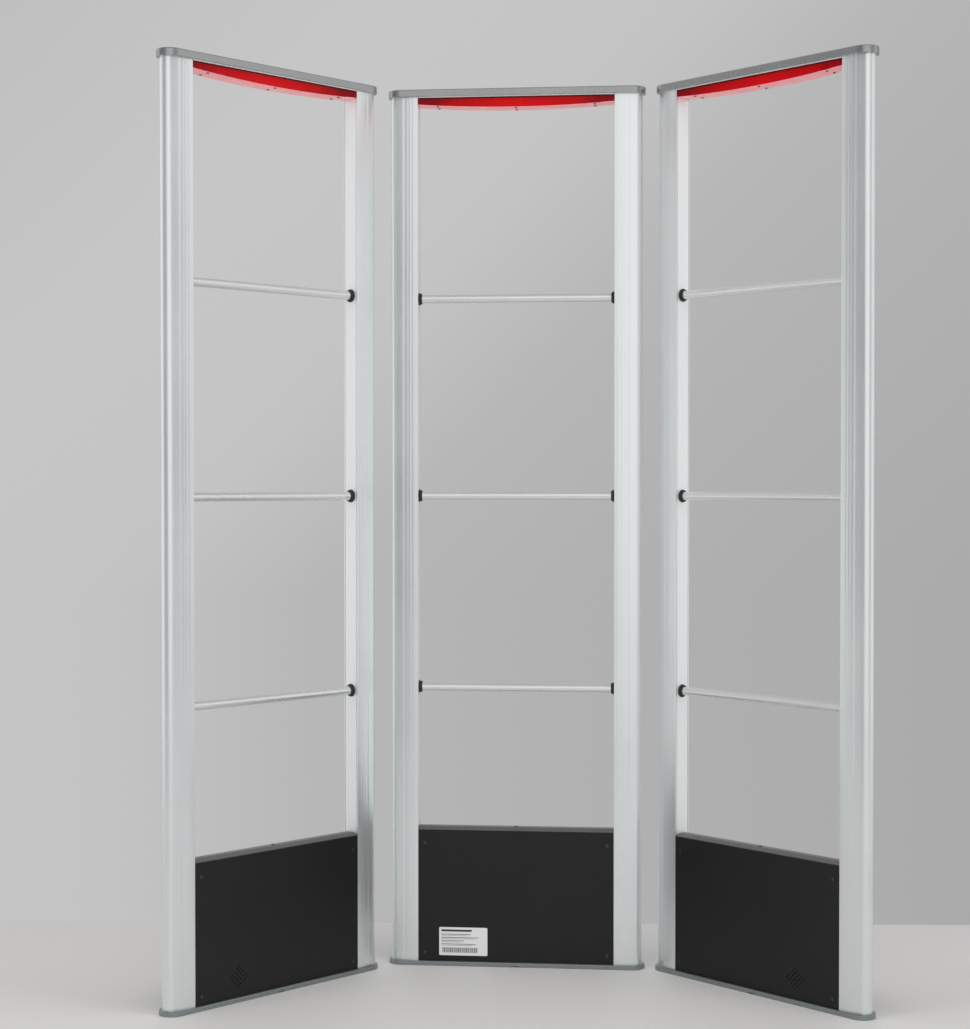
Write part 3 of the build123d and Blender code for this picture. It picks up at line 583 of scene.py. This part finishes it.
class Bench:
    """A flat face to build on. outward is -1 where it looks to the pedestal's front, 1 to its back."""

    def __init__(self, spot, hand=1, outward=-1):
        self.spot = Vector(spot)
        self.hand = hand
        self.outward = outward
        self.layers = {}

    def point(self, x, z, lift):
        """A place on the bench, in the pedestal's own directions and in metres."""
        return self.spot + Vector((self.hand * x, self.outward * lift, z)) * MM

    def layer(self, finish):
        """The mesh that gathers everything of one finish."""
        if finish.name not in self.layers:
            self.layers[finish.name] = bmesh.new()
        return self.layers[finish.name]

    def block(self, x, z, width, height, low, high, finish, edge=0.0):
        """A block centred on (x, z), from one lift to another, its edges rounded."""
        shape = self.layer(finish)
        one = self.point(x - width / 2, z - height / 2, low)
        two = self.point(x + width / 2, z + height / 2, high)
        corners = bmesh.ops.create_cube(shape, size=1.0)["verts"]
        for corner in corners:
            corner.co = [(one[i] + two[i]) / 2 + corner.co[i] * abs(two[i] - one[i]) for i in range(3)]
        if edge:
            edges = list(dict.fromkeys(e for corner in corners for e in corner.link_edges))
            bmesh.ops.bevel(shape, geom=edges, offset=edge * MM, segments=2, profile=0.7, affect="EDGES")

    def strip(self, start, end, width, low, high, finish):
        """A narrow strip from one (x, z) to another, for tracks that run at an angle."""
        shape = self.layer(finish)
        run = Vector(end) - Vector(start)
        side = Vector((-run.y, run.x)).normalized() * width / 2
        corners = [Vector(start) + side, Vector(end) + side, Vector(end) - side, Vector(start) - side]
        rings = [[shape.verts.new(self.point(c.x, c.y, lift)) for c in corners] for lift in (low, high)]
        shape.faces.new(rings[0])
        shape.faces.new(rings[1])
        for k in range(4):
            n = (k + 1) % 4
            shape.faces.new((rings[0][k], rings[0][n], rings[1][n], rings[1][k]))

    def turned(self, x, z, outline, finish, steps=32, closed=False, axis=None):
        """A turned shape about the lift direction, or about axis. outline is (along, radius) pairs."""
        shape = self.layer(finish)
        middle = self.point(x, z, 0)
        axis = Vector(axis or (0, self.outward, 0))
        side = axis.orthogonal().normalized()
        other = axis.cross(side)
        rings = []
        for along, radius in outline:
            centre = middle + axis * along * MM
            if radius == 0:
                rings.append([shape.verts.new(centre)] * steps)
                continue
            turns = [2 * math.pi * k / steps for k in range(steps)]
            arms = [side * math.cos(t) + other * math.sin(t) for t in turns]
            rings.append([shape.verts.new(centre + arm * radius * MM) for arm in arms])
        pairs = list(zip(rings, rings[1:]))
        if closed:
            pairs.append((rings[-1], rings[0]))
        for one, two in pairs:
            for k in range(steps):
                n = (k + 1) % steps
                loop = list(dict.fromkeys((one[k], one[n], two[n], two[k])))
                shape.faces.new(loop)

    def done(self, name, pedestal, body):
        """Stands the piece in its pedestal and lets it ride on a body."""
        whole = bmesh.new()
        mesh = bpy.data.meshes.new(name)
        for number, (finish_name, shape) in enumerate(self.layers.items()):
            bmesh.ops.recalc_face_normals(shape, faces=shape.faces[:])
            for face in shape.faces:
                face.material_index = number
            shape.to_mesh(mesh)
            shape.free()
            whole.from_mesh(mesh)
            mesh.materials.append(bpy.data.materials[finish_name])
        bmesh.ops.transform(whole, matrix=places[pedestal], verts=whole.verts[:])
        whole.to_mesh(mesh)
        whole.free()
        mesh.shade_smooth()
        mesh.set_sharp_from_angle(angle=SHARP_CORNER)
        made = bpy.data.objects.new(name, mesh)
        bpy.context.scene.collection.objects.link(made)
        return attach(made, body)


def own_points(pedestal, name):
    """The points of a shared node that belong to one pedestal, in that pedestal's own directions."""
    inverse = places[pedestal].inverted()
    reach, depth = own_box(pedestal, f"{pedestal}_base")[1].xy
    points = [inverse @ v.co for v in nodes[name].data.vertices]
    return [p for p in points if abs(p.x) <= reach and abs(p.y) <= depth]


def levels_of(points, gap=0.05):
    """Middle heights of groups of points that lie apart in height."""
    heights = sorted(p.z for p in points)
    breaks = [i + 1 for i in range(len(heights) - 1) if heights[i + 1] - heights[i] > gap]
    starts = [0, *breaks]
    ends = [*breaks, len(heights)]
    return [(heights[a] + heights[b - 1]) / 2 for a, b in zip(starts, ends)]


# %% [markdown]
# ## Rubber grommets
# Where a crossbar enters a post, a black rubber bush fills the hole. The CAD part has it as a plain cone.
# A real one is moulded with a rounded flange against the post, a groove and a thin lip round the bar, so
# its outline is turned round the bar here. Each pedestal gets one object with its six grommets, and the
# three objects together stand for the one shared CAD piece.

# %% Grommets
# The outline is (distance from the wall, radius) pairs, in millimetres.
GROMMET_OUTLINE = (
    (0.0, 7.6), (0.0, 10.7), (0.25, 11.1), (0.8, 11.25), (1.3, 11.1), (1.6, 10.6), (1.9, 10.25),
    (2.3, 10.3), (4.6, 9.5), (5.3, 9.1), (5.8, 8.5), (6.0, 7.9), (5.8, 7.6),
)


def build_grommets(pedestal):
    """Six turned grommets, at the heights and on the walls where the CAD part has them."""
    bench = Bench((0, 0, 0))
    points = own_points(pedestal, "grommets")
    wall = max(abs(p.x) for p in points)
    for height in levels_of(points):
        for side in SIDES:
            x, z = side * wall / MM, height / MM
            bench.turned(x, z, GROMMET_OUTLINE, rubber_finish, 48, closed=True, axis=(-side, 0, 0))
    made = bench.done(f"{pedestal}_rubber_grommets", pedestal, "root")
    print(pedestal, "grommets at", [round(h, 3) for h in levels_of(points)], "on walls", round(wall, 4))
    return made


for pedestal in PEDESTALS:
    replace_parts(build_grommets(pedestal), "grommets")

# %% [markdown]
# ## Label print
# Each back cover carries a printed film. The print is generic: a heading bar, rules of different lengths
# where lines of text would be, and a block of upright stripes. Ink is a raised layer a few hundredths of a
# millimetre thick, so the pattern stays crisp at any distance.

# %% Label print
INK = 0.05
MARGIN = 4
HEADING_LENGTH = 54
RULES = ((12.6, 52), (6.8, 66), (1.0, 40), (-4.8, 61))       # height and length
STRIPES = (0.9, 0.4, 1.4, 0.5, 0.9, 0.4, 0.6, 1.2, 0.4, 0.8)
STRIPE_COUNT = 44


def print_label(pedestal):
    """The print of one label, laid on its film."""
    points = own_points(pedestal, "labels")
    left, right = min(p.x for p in points), max(p.x for p in points)
    middle_z = (min(p.z for p in points) + max(p.z for p in points)) / 2
    film = max(p.y for p in points)
    bench = Bench(((left + right) / 2, film, middle_z), hand=-1, outward=1)
    width = (right - left) / MM
    start = -width / 2 + MARGIN
    bench.block(start + HEADING_LENGTH / 2, 19.2, HEADING_LENGTH, 3.6, 0, INK, ink_finish)
    for z, length in RULES:
        bench.block(start + length / 2, z, length, 1.0, 0, INK, ink_finish)
        bench.block(start + length / 2 - 3, z - 2.2, length - 6, 0.5, 0, INK, ink_finish)
    x = start + 2
    for k in range(STRIPE_COUNT):
        stripe = STRIPES[k % len(STRIPES)]
        bench.block(x + stripe / 2, -15.5, stripe, 9.0, 0, INK, ink_finish)
        x += stripe + STRIPES[(k * 3 + 1) % len(STRIPES)] * 0.9
    return bench.done(f"{pedestal}_label_print", pedestal, "root")


for pedestal in PEDESTALS:
    print_label(pedestal)
print("printed", len(PEDESTALS), "labels")

# %% [markdown]
# ## Speaker
# Behind the grille hangs a small loudspeaker. Lifted off with the cover, it shows its back: a pressed
# basket, a ferrite ring and a steel plate with a vent. Its front has a paper cone with a rolled edge and a
# dust cap. Every part of it is round, so all of them are outlines turned about one axis.

# %% Speakers
basket_finish = coated("black_basket", (0.02, 0.02, 0.022), (0.045, 0.045, 0.048), 0.35, 900, 0.00001, 0.6)
ferrite_finish = coated("ferrite", (0.035, 0.034, 0.034), (0.065, 0.063, 0.062), 0.6, 1800, 0.00003)
tag_finish = coated("brown_tag_board", (0.16, 0.085, 0.04), (0.24, 0.13, 0.06), 0.5, 1200, 0.00002)
tinned_finish = coated("tinned_metal", (0.62, 0.62, 0.61), (0.76, 0.76, 0.75), 0.28, 1500, 0.00001, 1.0)

# Outlines are (lift, radius) pairs, in millimetres.
BASKET = (
    (0.0, 15.9), (0.0, 18.0), (1.1, 18.0), (1.4, 17.2), (4.2, 12.9),
    (4.2, 7.0), (3.6, 7.0), (3.6, 12.3), (1.1, 15.9),
)
CONE = (
    (0.7, 15.9), (0.2, 15.2), (0.15, 14.5), (0.8, 13.7),
    (2.8, 5.6), (3.2, 5.6), (1.2, 13.9), (0.9, 15.9),
)
DUST_CAP = ((1.0, 0), (1.1, 1.6), (1.45, 3.2), (2.1, 4.7), (2.9, 5.7), (3.3, 5.7), (3.3, 0))
MAGNET = ((4.2, 0), (4.2, 8.7), (4.5, 9.0), (8.4, 9.0), (8.7, 8.7), (8.7, 0))
BACK_PLATE = ((8.7, 0), (8.7, 8.3), (9.6, 8.3), (10.0, 7.9), (10.0, 2.2), (9.3, 1.8), (9.3, 0))


def build_speaker(pedestal):
    """One loudspeaker, its rim on the cover and its magnet towards the box."""
    low, high = own_box(pedestal, f"{pedestal}_speaker")
    bench = Bench(((low.x + high.x) / 2, low.y, (low.z + high.z) / 2), outward=1)
    bench.turned(0, 0, BASKET, basket_finish, 48, closed=True)
    bench.turned(0, 0, CONE, speaker_finish, 48, closed=True)
    bench.turned(0, 0, DUST_CAP, speaker_finish, 32)
    bench.turned(0, 0, MAGNET, ferrite_finish, 48)
    bench.turned(0, 0, BACK_PLATE, chassis_finish, 48)
    bench.block(0, -13.4, 9, 3.6, 2.6, 4.4, tag_finish, 0.2)
    for side in SIDES:
        bench.block(side * 2.6, -14.4, 1.8, 4.2, 4.4, 4.8, tinned_finish, 0.1)
        bench.turned(side * 2.6, -13.6, ((4.7, 0), (4.8, 0.9), (5.3, 0.7), (5.6, 0)), tinned_finish, 12)
    made = bench.done(f"{pedestal}_loudspeaker", pedestal, f"{pedestal}_cover")
    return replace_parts(made, f"{pedestal}_speaker")


for pedestal in PEDESTALS:
    build_speaker(pedestal)
print("built", len(PEDESTALS), "speakers")

# %% [markdown]
# ## Main board
# Inside each box a green board listens to the loop and sounds the alarm. Its outline and the place of each
# large component follow the CAD board, which this piece stands for. Boards look alike because their parts
# come from the same few families, so each family gets a helper below, and tables say where its parts go.

# %% Board finishes
# Black epoxy for chip bodies, also used as painted shade in screw crosses and slots, capacitor scores and
# wire mouths.
epoxy_and_painted_shade_finish = coated("black_epoxy_and_painted_shade", (0.010, 0.010, 0.011), (0.022, 0.022, 0.023), 0.5, 2500, 0.00002)
mark_finish = coated("white_marking", (0.70, 0.71, 0.70), (0.82, 0.83, 0.82), 0.55, 1500, 0.00001)
track_finish = coated("masked_track", (0.030, 0.25, 0.11), (0.045, 0.33, 0.15), 0.3, 900, 0.00001)
nylon_finish = coated("white_nylon", (0.74, 0.73, 0.68), (0.84, 0.83, 0.78), 0.45, 900, 0.00001)
sleeve_finish = coated("blue_sleeve", (0.010, 0.022, 0.075), (0.020, 0.040, 0.120), 0.28, 700, 0.00001)
relay_finish = coated("blue_relay", (0.015, 0.10, 0.28), (0.025, 0.14, 0.36), 0.35, 700, 0.00001)
terminal_finish = coated("green_terminal", (0.02, 0.22, 0.09), (0.035, 0.30, 0.13), 0.4, 900, 0.00001)
chip_part_finish = coated("tan_chip_part", (0.30, 0.21, 0.12), (0.42, 0.31, 0.19), 0.45, 1500, 0.00001)
signal_led_finish = coated("green_signal", (0.05, 0.55, 0.12), (0.10, 0.75, 0.20), 0.2, 600, 0.00001)
print("finishes in all:", len(bpy.data.materials))

# %% [markdown]
# ## Screws on a board
# A screw head is turned, and its cross is pressed in afterwards. Cutting the cross would need a boolean on
# every head. Two thin dark blocks sunk in the head stand for it instead: their black is painted shade where
# the recess would be, and they stay clean.

# %% Screws
BOARD_EDGE = 6.0             # screw holes, from the edges
CROSS_WIDTH = 0.45


def screw_spots(width, height, edge):
    """Four places, one near each corner of a plate."""
    return [(sx * (width / 2 - edge), sz * (height / 2 - edge)) for sx in SIDES for sz in SIDES]


def place_cross_screw(bench, spot, outline, slot, top):
    """A turned screw head with a dark cross in it, painted shade where its recess would be."""
    bench.turned(*spot, outline, steel_screw_finish, 32)
    # Two black strips: painted shade where the cross recess would be.
    bench.block(*spot, slot, CROSS_WIDTH, top - 0.15, top + 0.04, epoxy_and_painted_shade_finish)
    bench.block(*spot, CROSS_WIDTH, slot, top - 0.15, top + 0.04, epoxy_and_painted_shade_finish)


# %% [markdown]
# ## Chips
# A chip is a block of black epoxy with metal pins that leave it at mid height, bend down and end in a flat
# foot on the board. Each pin is three thin blocks, one for each stretch, and pins are a millimetre apart.

# %% Chips


def place_chip(bench, x, z, body_width, body_height, pins, sides):
    """A moulded chip with bent pins on two or four sides, and a pale dot at its first pin."""
    bench.block(x, z, body_width, body_height, 0.15, 2.1, epoxy_and_painted_shade_finish, 0.15)
    corner = (x - body_width / 2 + 1.6, z + body_height / 2 - 1.6)
    bench.turned(*corner, ((2.05, 0), (2.05, 0.5), (2.12, 0.5), (2.12, 0)), mark_finish, 16)
    for side in SIDES:
        for k in range(pins):
            along = k - (pins - 1) / 2
            if "x" in sides:
                edge = x + side * body_width / 2
                bench.block(edge + side * 0.35, z + along, 0.7, 0.4, 0.9, 1.05, tinned_finish)
                bench.block(edge + side * 0.62, z + along, 0.16, 0.4, 0.0, 1.05, tinned_finish)
                bench.block(edge + side * 1.0, z + along, 0.9, 0.4, 0.0, 0.15, tinned_finish)
            if "z" in sides:
                edge = z + side * body_height / 2
                bench.block(x + along, edge + side * 0.35, 0.4, 0.7, 0.9, 1.05, tinned_finish)
                bench.block(x + along, edge + side * 0.62, 0.4, 0.16, 0.0, 1.05, tinned_finish)
                bench.block(x + along, edge + side * 1.0, 0.4, 0.9, 0.0, 0.15, tinned_finish)


# %% [markdown]
# ## Capacitors
# An electrolytic capacitor is an aluminium can in a shrunk plastic sleeve. The crimp near its foot and the
# scored top, which lets it open safely, are what tell it from a plain cylinder, so both are drawn. The
# score is drawn as two thin black strips on the lid, painted shade where its grooves would be.

# %% Capacitors


def place_capacitor(bench, x, z, radius, height):
    """A can in a shrunk sleeve, with a crimped neck, a metal top scored in painted shade, and a pale
    stripe.
    """
    neck = radius - 0.3
    rim = radius - 0.6
    sleeve = (
        (0.0, 0), (0.0, radius), (1.2, radius), (1.7, neck), (2.2, radius),
        (height - 0.5, radius), (height, rim), (height, 0),
    )
    bench.turned(x, z, sleeve, sleeve_finish, 32)
    lid = ((height, 0), (height, rim - 0.2), (height + 0.1, rim - 0.3), (height + 0.1, 0))
    bench.turned(x, z, lid, tinned_finish, 32)
    # Two black strips on the lid: painted shade where the score's grooves would be.
    bench.block(x, z, 1.5 * radius, 0.25, height + 0.05, height + 0.13, epoxy_and_painted_shade_finish)
    bench.block(x, z, 0.25, 1.5 * radius, height + 0.05, height + 0.13, epoxy_and_painted_shade_finish)
    bench.block(x - radius, z, 0.12, 0.9, 2.6, height - 0.8, mark_finish)


# %% [markdown]
# ## Connectors
# Wires meet the board at two kinds of connector. A header is an open nylon shell round a row of square
# contacts, with a slot in one wall so that its plug fits one way only. A screw terminal has a slotted screw
# on top and a wire mouth in front for every way; the slot and the mouth are thin black strips, painted
# shade where the openings would be. The header's walls are thin blocks, so it is really hollow.

# %% Connectors
WALL = 0.9


def place_header(bench, x, z, width, height, depth, contacts):
    """A connector shell: a floor, four walls, a keying slot and a row of square contacts."""
    bench.block(x, z, width, height, 0, 2.2, nylon_finish, 0.15)
    for side in SIDES:
        bench.block(x + side * (width - WALL) / 2, z, WALL, height, 2.0, depth, nylon_finish, 0.12)
    bench.block(x, z - (height - WALL) / 2, width, WALL, 2.0, depth, nylon_finish, 0.12)
    far_wall = z + (height - WALL) / 2
    for side in SIDES:
        bench.block(x + side * width * 0.3, far_wall, width * 0.4, WALL, 2.0, depth, nylon_finish, 0.12)
    for k in range(contacts):
        along = (k - (contacts - 1) / 2) * (width - 5) / (contacts - 1)
        bench.block(x + along, z, 0.64, 0.64, 2.0, depth - 1.2, tinned_finish, 0.08)


def place_screw_terminal(bench, x, z, width, height, depth, ways):
    """A green terminal block, one screw and one wire mouth for each way. The screw's slot and the mouth are
    black strips of painted shade.
    """
    bench.block(x, z, width, height, 0, depth - 1.6, terminal_finish, 0.2)
    pitch = width / ways
    for k in range(ways):
        spot = x + (k - (ways - 1) / 2) * pitch
        bench.block(spot, z + 0.6, pitch - 0.7, height - 2.2, depth - 1.8, depth, terminal_finish, 0.3)
        head = depth + 0.35
        screw = ((depth - 0.4, 0), (depth - 0.4, 1.7), (head - 0.1, 1.6), (head, 1.3), (head, 0))
        bench.turned(spot, z + 0.6, screw, tinned_finish, 24)
        # Painted shade: a black strip in the screw's slot, and a black sheet where the wire mouth opens.
        bench.block(spot, z + 0.6, 2.6, 0.45, depth + 0.3, depth + 0.38, epoxy_and_painted_shade_finish)
        bench.block(spot, z - height / 2 - 0.02, pitch - 2.2, 0.12, 2.0, 5.4, epoxy_and_painted_shade_finish)


# %% [markdown]
# ## Tiny parts and tracks
# Most parts of a board are resistors and capacitors the size of a grain of rice, set in rows by a machine.
# A regular grid with two heights gives that look. Tracks are etched copper under green lacquer. They run
# in bundles and turn at a slant, so each track is three strips, and a bundle sets them side by side.

# %% Tiny parts and tracks
COLUMN_PITCH = 3.4
ROW_PITCH = 2.6
TRACK_WIDTH = 0.35
TRACK_RISE = 0.04


def place_chip_parts(bench, x, z, columns, rows):
    """Rows of tiny resistors and capacitors, each with two tinned ends."""
    for c in range(columns):
        for r in range(rows):
            spot = (x + c * COLUMN_PITCH, z + r * ROW_PITCH)
            tall = (c + 2 * r) % 3 == 0
            middle = chip_part_finish if tall else epoxy_and_painted_shade_finish
            bench.block(*spot, 1.1, 1.2, 0, 1.0 if tall else 0.55, middle)
            top = 1.02 if tall else 0.57
            for side in SIDES:
                bench.block(spot[0] + side * 0.78, spot[1], 0.46, 1.25, 0, top, tinned_finish)


def run_tracks(bench, start, end, count, pitch):
    """Side-by-side tracks that leave straight, cross at a slant and arrive straight."""
    (x0, z0), (x1, z1) = start, end
    for k in range(count):
        first, last = z0 + k * pitch, z1 + k * pitch
        bend = (x0 + x1) / 2 - abs(last - first) / 2
        turn = bend + abs(last - first)
        stops = ((x0, first), (bend, first), (turn, last), (x1, last))
        for a, b in zip(stops, stops[1:]):
            if (Vector(b) - Vector(a)).length > 0.01:
                bench.strip(a, b, TRACK_WIDTH, 0, TRACK_RISE, track_finish)


# %% [markdown]
# ## The bare board
# A board is cut from a sheet with rounded corners and drilled in its four corners. A flat outline with
# four round holes is filled with faces and pushed back by the board's thickness, which needs no boolean.

# %% Bare board
BOARD_THICKNESS = 1.6
BOARD_CORNER = 2.0
HOLE_RADIUS = 1.6
CORNER_STEPS = 6
HOLE_STEPS = 24


def bare_board(bench, width, height):
    """The board itself, with rounded corners and four holes for its screws."""
    shape = bench.layer(board_finish)
    rim = []
    for sx, sz, start in ((1, 1, 0), (-1, 1, 90), (-1, -1, 180), (1, -1, 270)):
        cx, cz = sx * (width / 2 - BOARD_CORNER), sz * (height / 2 - BOARD_CORNER)
        for k in range(CORNER_STEPS + 1):
            turn = math.radians(start + 90 * k / CORNER_STEPS)
            rim.append((cx + BOARD_CORNER * math.cos(turn), cz + BOARD_CORNER * math.sin(turn)))
    loops = [rim]
    turns = [2 * math.pi * k / HOLE_STEPS for k in range(HOLE_STEPS)]
    for hx, hz in screw_spots(width, height, BOARD_EDGE):
        loops.append([(hx + HOLE_RADIUS * math.cos(t), hz + HOLE_RADIUS * math.sin(t)) for t in turns])
    edges = []
    for loop in loops:
        spots = [shape.verts.new(bench.point(x, z, 0)) for x, z in loop]
        edges += [shape.edges.new((spots[k - 1], spots[k])) for k in range(len(spots))]
    filled = bmesh.ops.triangle_fill(shape, edges=edges, use_beauty=True)
    faces = [g for g in filled["geom"] if isinstance(g, bmesh.types.BMFace)]
    pushed = bmesh.ops.extrude_face_region(shape, geom=faces, use_keep_orig=True)
    moved = [g for g in pushed["geom"] if isinstance(g, bmesh.types.BMVert)]
    bmesh.ops.translate(shape, verts=moved, vec=(0, -bench.outward * BOARD_THICKNESS * MM, 0))


# %% [markdown]
# ## Filling the board
# The tables say where each part goes, measured from the board's middle. Large parts stand where the CAD
# board has them: relay and screw terminal at one end, header and trimmer base at the other. The trimmer's
# knob is a CAD piece that turns, so only the body round it is made here.

# %% Main boards
# Outlines are (lift, radius) pairs. Places are (x, z) from the board's middle, in millimetres.
HOLE_PAD = ((0, 1.65), (0, 3.4), (0.06, 3.4), (0.06, 1.65))
PAN_HEAD = ((0.06, 0), (0.06, 2.8), (0.9, 2.8), (1.5, 2.3), (1.8, 1.3), (1.85, 0))
POT_BODY = ((0.0, 2.1), (0.0, 7.0), (0.8, 7.0), (1.0, 6.6), (5.4, 6.6), (5.8, 6.2), (5.9, 2.1))
POT_SPOT = (50, 25)
COIL_DRUM = ((0, 0), (0, 5), (0.8, 5), (1.2, 4.4), (5.2, 4.4), (5.6, 5), (6.4, 5), (6.4, 0))
COIL_SPOT = (-32, 31)
# Chips as x, z, width, height, pins on a side, sides with pins.
CHIPS = ((-20, 5, 19, 19, 16, "xz"), (12, 8, 11.4, 11.4, 9, "xz"), (10, -22, 11.4, 6.4, 8, "z"))
# Plain blocks as x, z, width, height, from lift, to lift.
RELAY = (-52, 12, 18, 15, 0, 11.7)
RELAY_MARKS = ((-52, 12, 14, 0.5, 11.65, 11.8), (-52, 9, 9, 0.5, 11.65, 11.8))
CRYSTAL = (-2, 25, 11.4, 4.6, 0, 3.4)
SIGNAL_LED = (1.6, 2.4, 0, 1.1)
SIGNAL_SPOTS = ((18, 38), (22, 38), (26, 38), (30, 38))
# Connectors as x, z, width, height, depth, ways or contacts.
SCREW_TERMINAL = (-50, -30, 30, 9, 10.6, 6)
HEADERS = ((50, -30, 24, 9, 9.0, 8), (-14, -32, 16, 8, 8.0, 5))
# Capacitors as x, z, radius, height.
CAPACITORS = ((-52, -10, 5.0, 11.8), (-38, -12, 4.0, 9.8), (30, -8, 5.0, 11.8), (34, 10, 3.2, 7.8))
# Fields of tiny parts as x, z, columns, rows.
CHIP_PART_FIELDS = (
    (-10, -10, 6, 2), (17, 22, 6, 3), (44, -8, 6, 4), (-20, 34, 5, 2), (24, -28, 3, 4), (-68, 27, 5, 2),
)
# Bundles of tracks as start, end, count, pitch.
TRACK_RUNS = (
    ((-8.6, 2), (4.8, 5), 7, 0.9), ((19.2, 4), (42, -2), 6, 0.9), ((-44, 2), (-31, -2), 6, 0.9),
    ((22, -38), (62, -36), 3, 1.0), ((-62, 38), (-38, 36), 4, 1.0),
)


def build_main_board(pedestal):
    """One whole board. hand mirrors it where the CAD board is at the other end of its box."""
    low, high = own_box(pedestal, f"{pedestal}_main_board")
    middle = (low + high) / 2
    hand = 1 if middle.x > 0 else -1
    bench = Bench((middle.x, high.y - BOARD_THICKNESS * MM, middle.z), hand)
    width, height = (high.x - low.x) / MM, (high.z - low.z) / MM
    bare_board(bench, width, height)
    for spot in screw_spots(width, height, BOARD_EDGE):
        bench.turned(*spot, HOLE_PAD, tinned_finish, 32, closed=True)
        place_cross_screw(bench, spot, PAN_HEAD, 3.2, 1.85)
    for chip in CHIPS:
        place_chip(bench, *chip)
    bench.block(*RELAY, relay_finish, 0.5)
    for mark in RELAY_MARKS:
        bench.block(*mark, mark_finish)
    place_screw_terminal(bench, *SCREW_TERMINAL)
    for header in HEADERS:
        place_header(bench, *header)
    for capacitor in CAPACITORS:
        place_capacitor(bench, *capacitor)
    bench.turned(*POT_SPOT, POT_BODY, relay_finish, 40, closed=True)
    bench.block(*CRYSTAL, tinned_finish, 1.0)
    bench.turned(*COIL_SPOT, COIL_DRUM, ferrite_finish, 32)
    for spot in SIGNAL_SPOTS:
        bench.block(*spot, *SIGNAL_LED, signal_led_finish, 0.2)
    for field in CHIP_PART_FIELDS:
        place_chip_parts(bench, *field)
    for run in TRACK_RUNS:
        run_tracks(bench, *run)
    made = bench.done(f"{pedestal}_detailed_board", pedestal, "root")
    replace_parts(made, f"{pedestal}_main_board")
    print(pedestal, "board:", len(made.data.polygons), "faces")


for pedestal in PEDESTALS:
    build_main_board(pedestal)

# %% [markdown]
# ## Supply fittings
# The pressed case next to the board is the power supply. Its vents come with the CAD part. What a case like
# it also shows is added here: a plain rating plate with ruled lines, four lid screws and a row of terminals
# along its lower edge, where the mains and low-voltage wires would go.

# %% Supply fittings
PLATE_WIDTH = 12
PLATE_HEIGHT = 14
PLATE_RISE = 2               # its middle, above the middle of the case
PLATE_RULES = ((4.0, 8), (1.6, 9.5), (-0.8, 6), (-3.2, 8.5))
TERMINAL_COUNT = 5
TERMINAL_PITCH = 7.0
TERMINAL_Z = -3.4            # middle of the terminals, below the case
CASE_EDGE = 4.5
CASE_SCREW = ((0, 0), (0, 1.9), (0.5, 1.7), (0.8, 1.0), (0.85, 0))
TERMINAL_SCREW = ((2.6, 0), (2.6, 2.1), (3.3, 2.0), (3.5, 1.4), (3.5, 0))


def fit_supply(pedestal):
    """The rating plate and screws on the case's face, and the terminals below it."""
    low, high = own_box(pedestal, f"{pedestal}_power_supply")
    middle = (low + high) / 2
    bench = Bench((middle.x, low.y, middle.z))
    width, height = (high.x - low.x) / MM, (high.z - low.z) / MM
    for spot in screw_spots(width, height, CASE_EDGE):
        place_cross_screw(bench, spot, CASE_SCREW, 2.2, 0.85)
    plate_x = width / 2 - 8
    bench.block(plate_x, PLATE_RISE, PLATE_WIDTH, PLATE_HEIGHT, 0, 0.15, mark_finish)
    for z, length in PLATE_RULES:
        bench.block(plate_x - 5 + length / 2, PLATE_RISE + z, length, 0.6, 0.14, 0.19, ink_finish)
    underside = Bench((middle.x, low.y + 6 * MM, low.z), outward=-1)
    for k in range(TERMINAL_COUNT):
        x = (k - (TERMINAL_COUNT - 1) / 2) * TERMINAL_PITCH
        underside.block(x, TERMINAL_Z, 6.2, 6.8, -8, 3, nylon_finish, 0.4)
        underside.turned(x, TERMINAL_Z, TERMINAL_SCREW, steel_screw_finish, 24)
        # A black strip of painted shade in the screw's slot.
        underside.block(x, TERMINAL_Z, 3.0, 0.5, 3.4, 3.55, epoxy_and_painted_shade_finish)
    bench.done(f"{pedestal}_supply_plate", pedestal, "root")
    return underside.done(f"{pedestal}_supply_terminals", pedestal, "root")


for pedestal in PEDESTALS:
    fit_supply(pedestal)
print("fitted", len(PEDESTALS), "supplies")
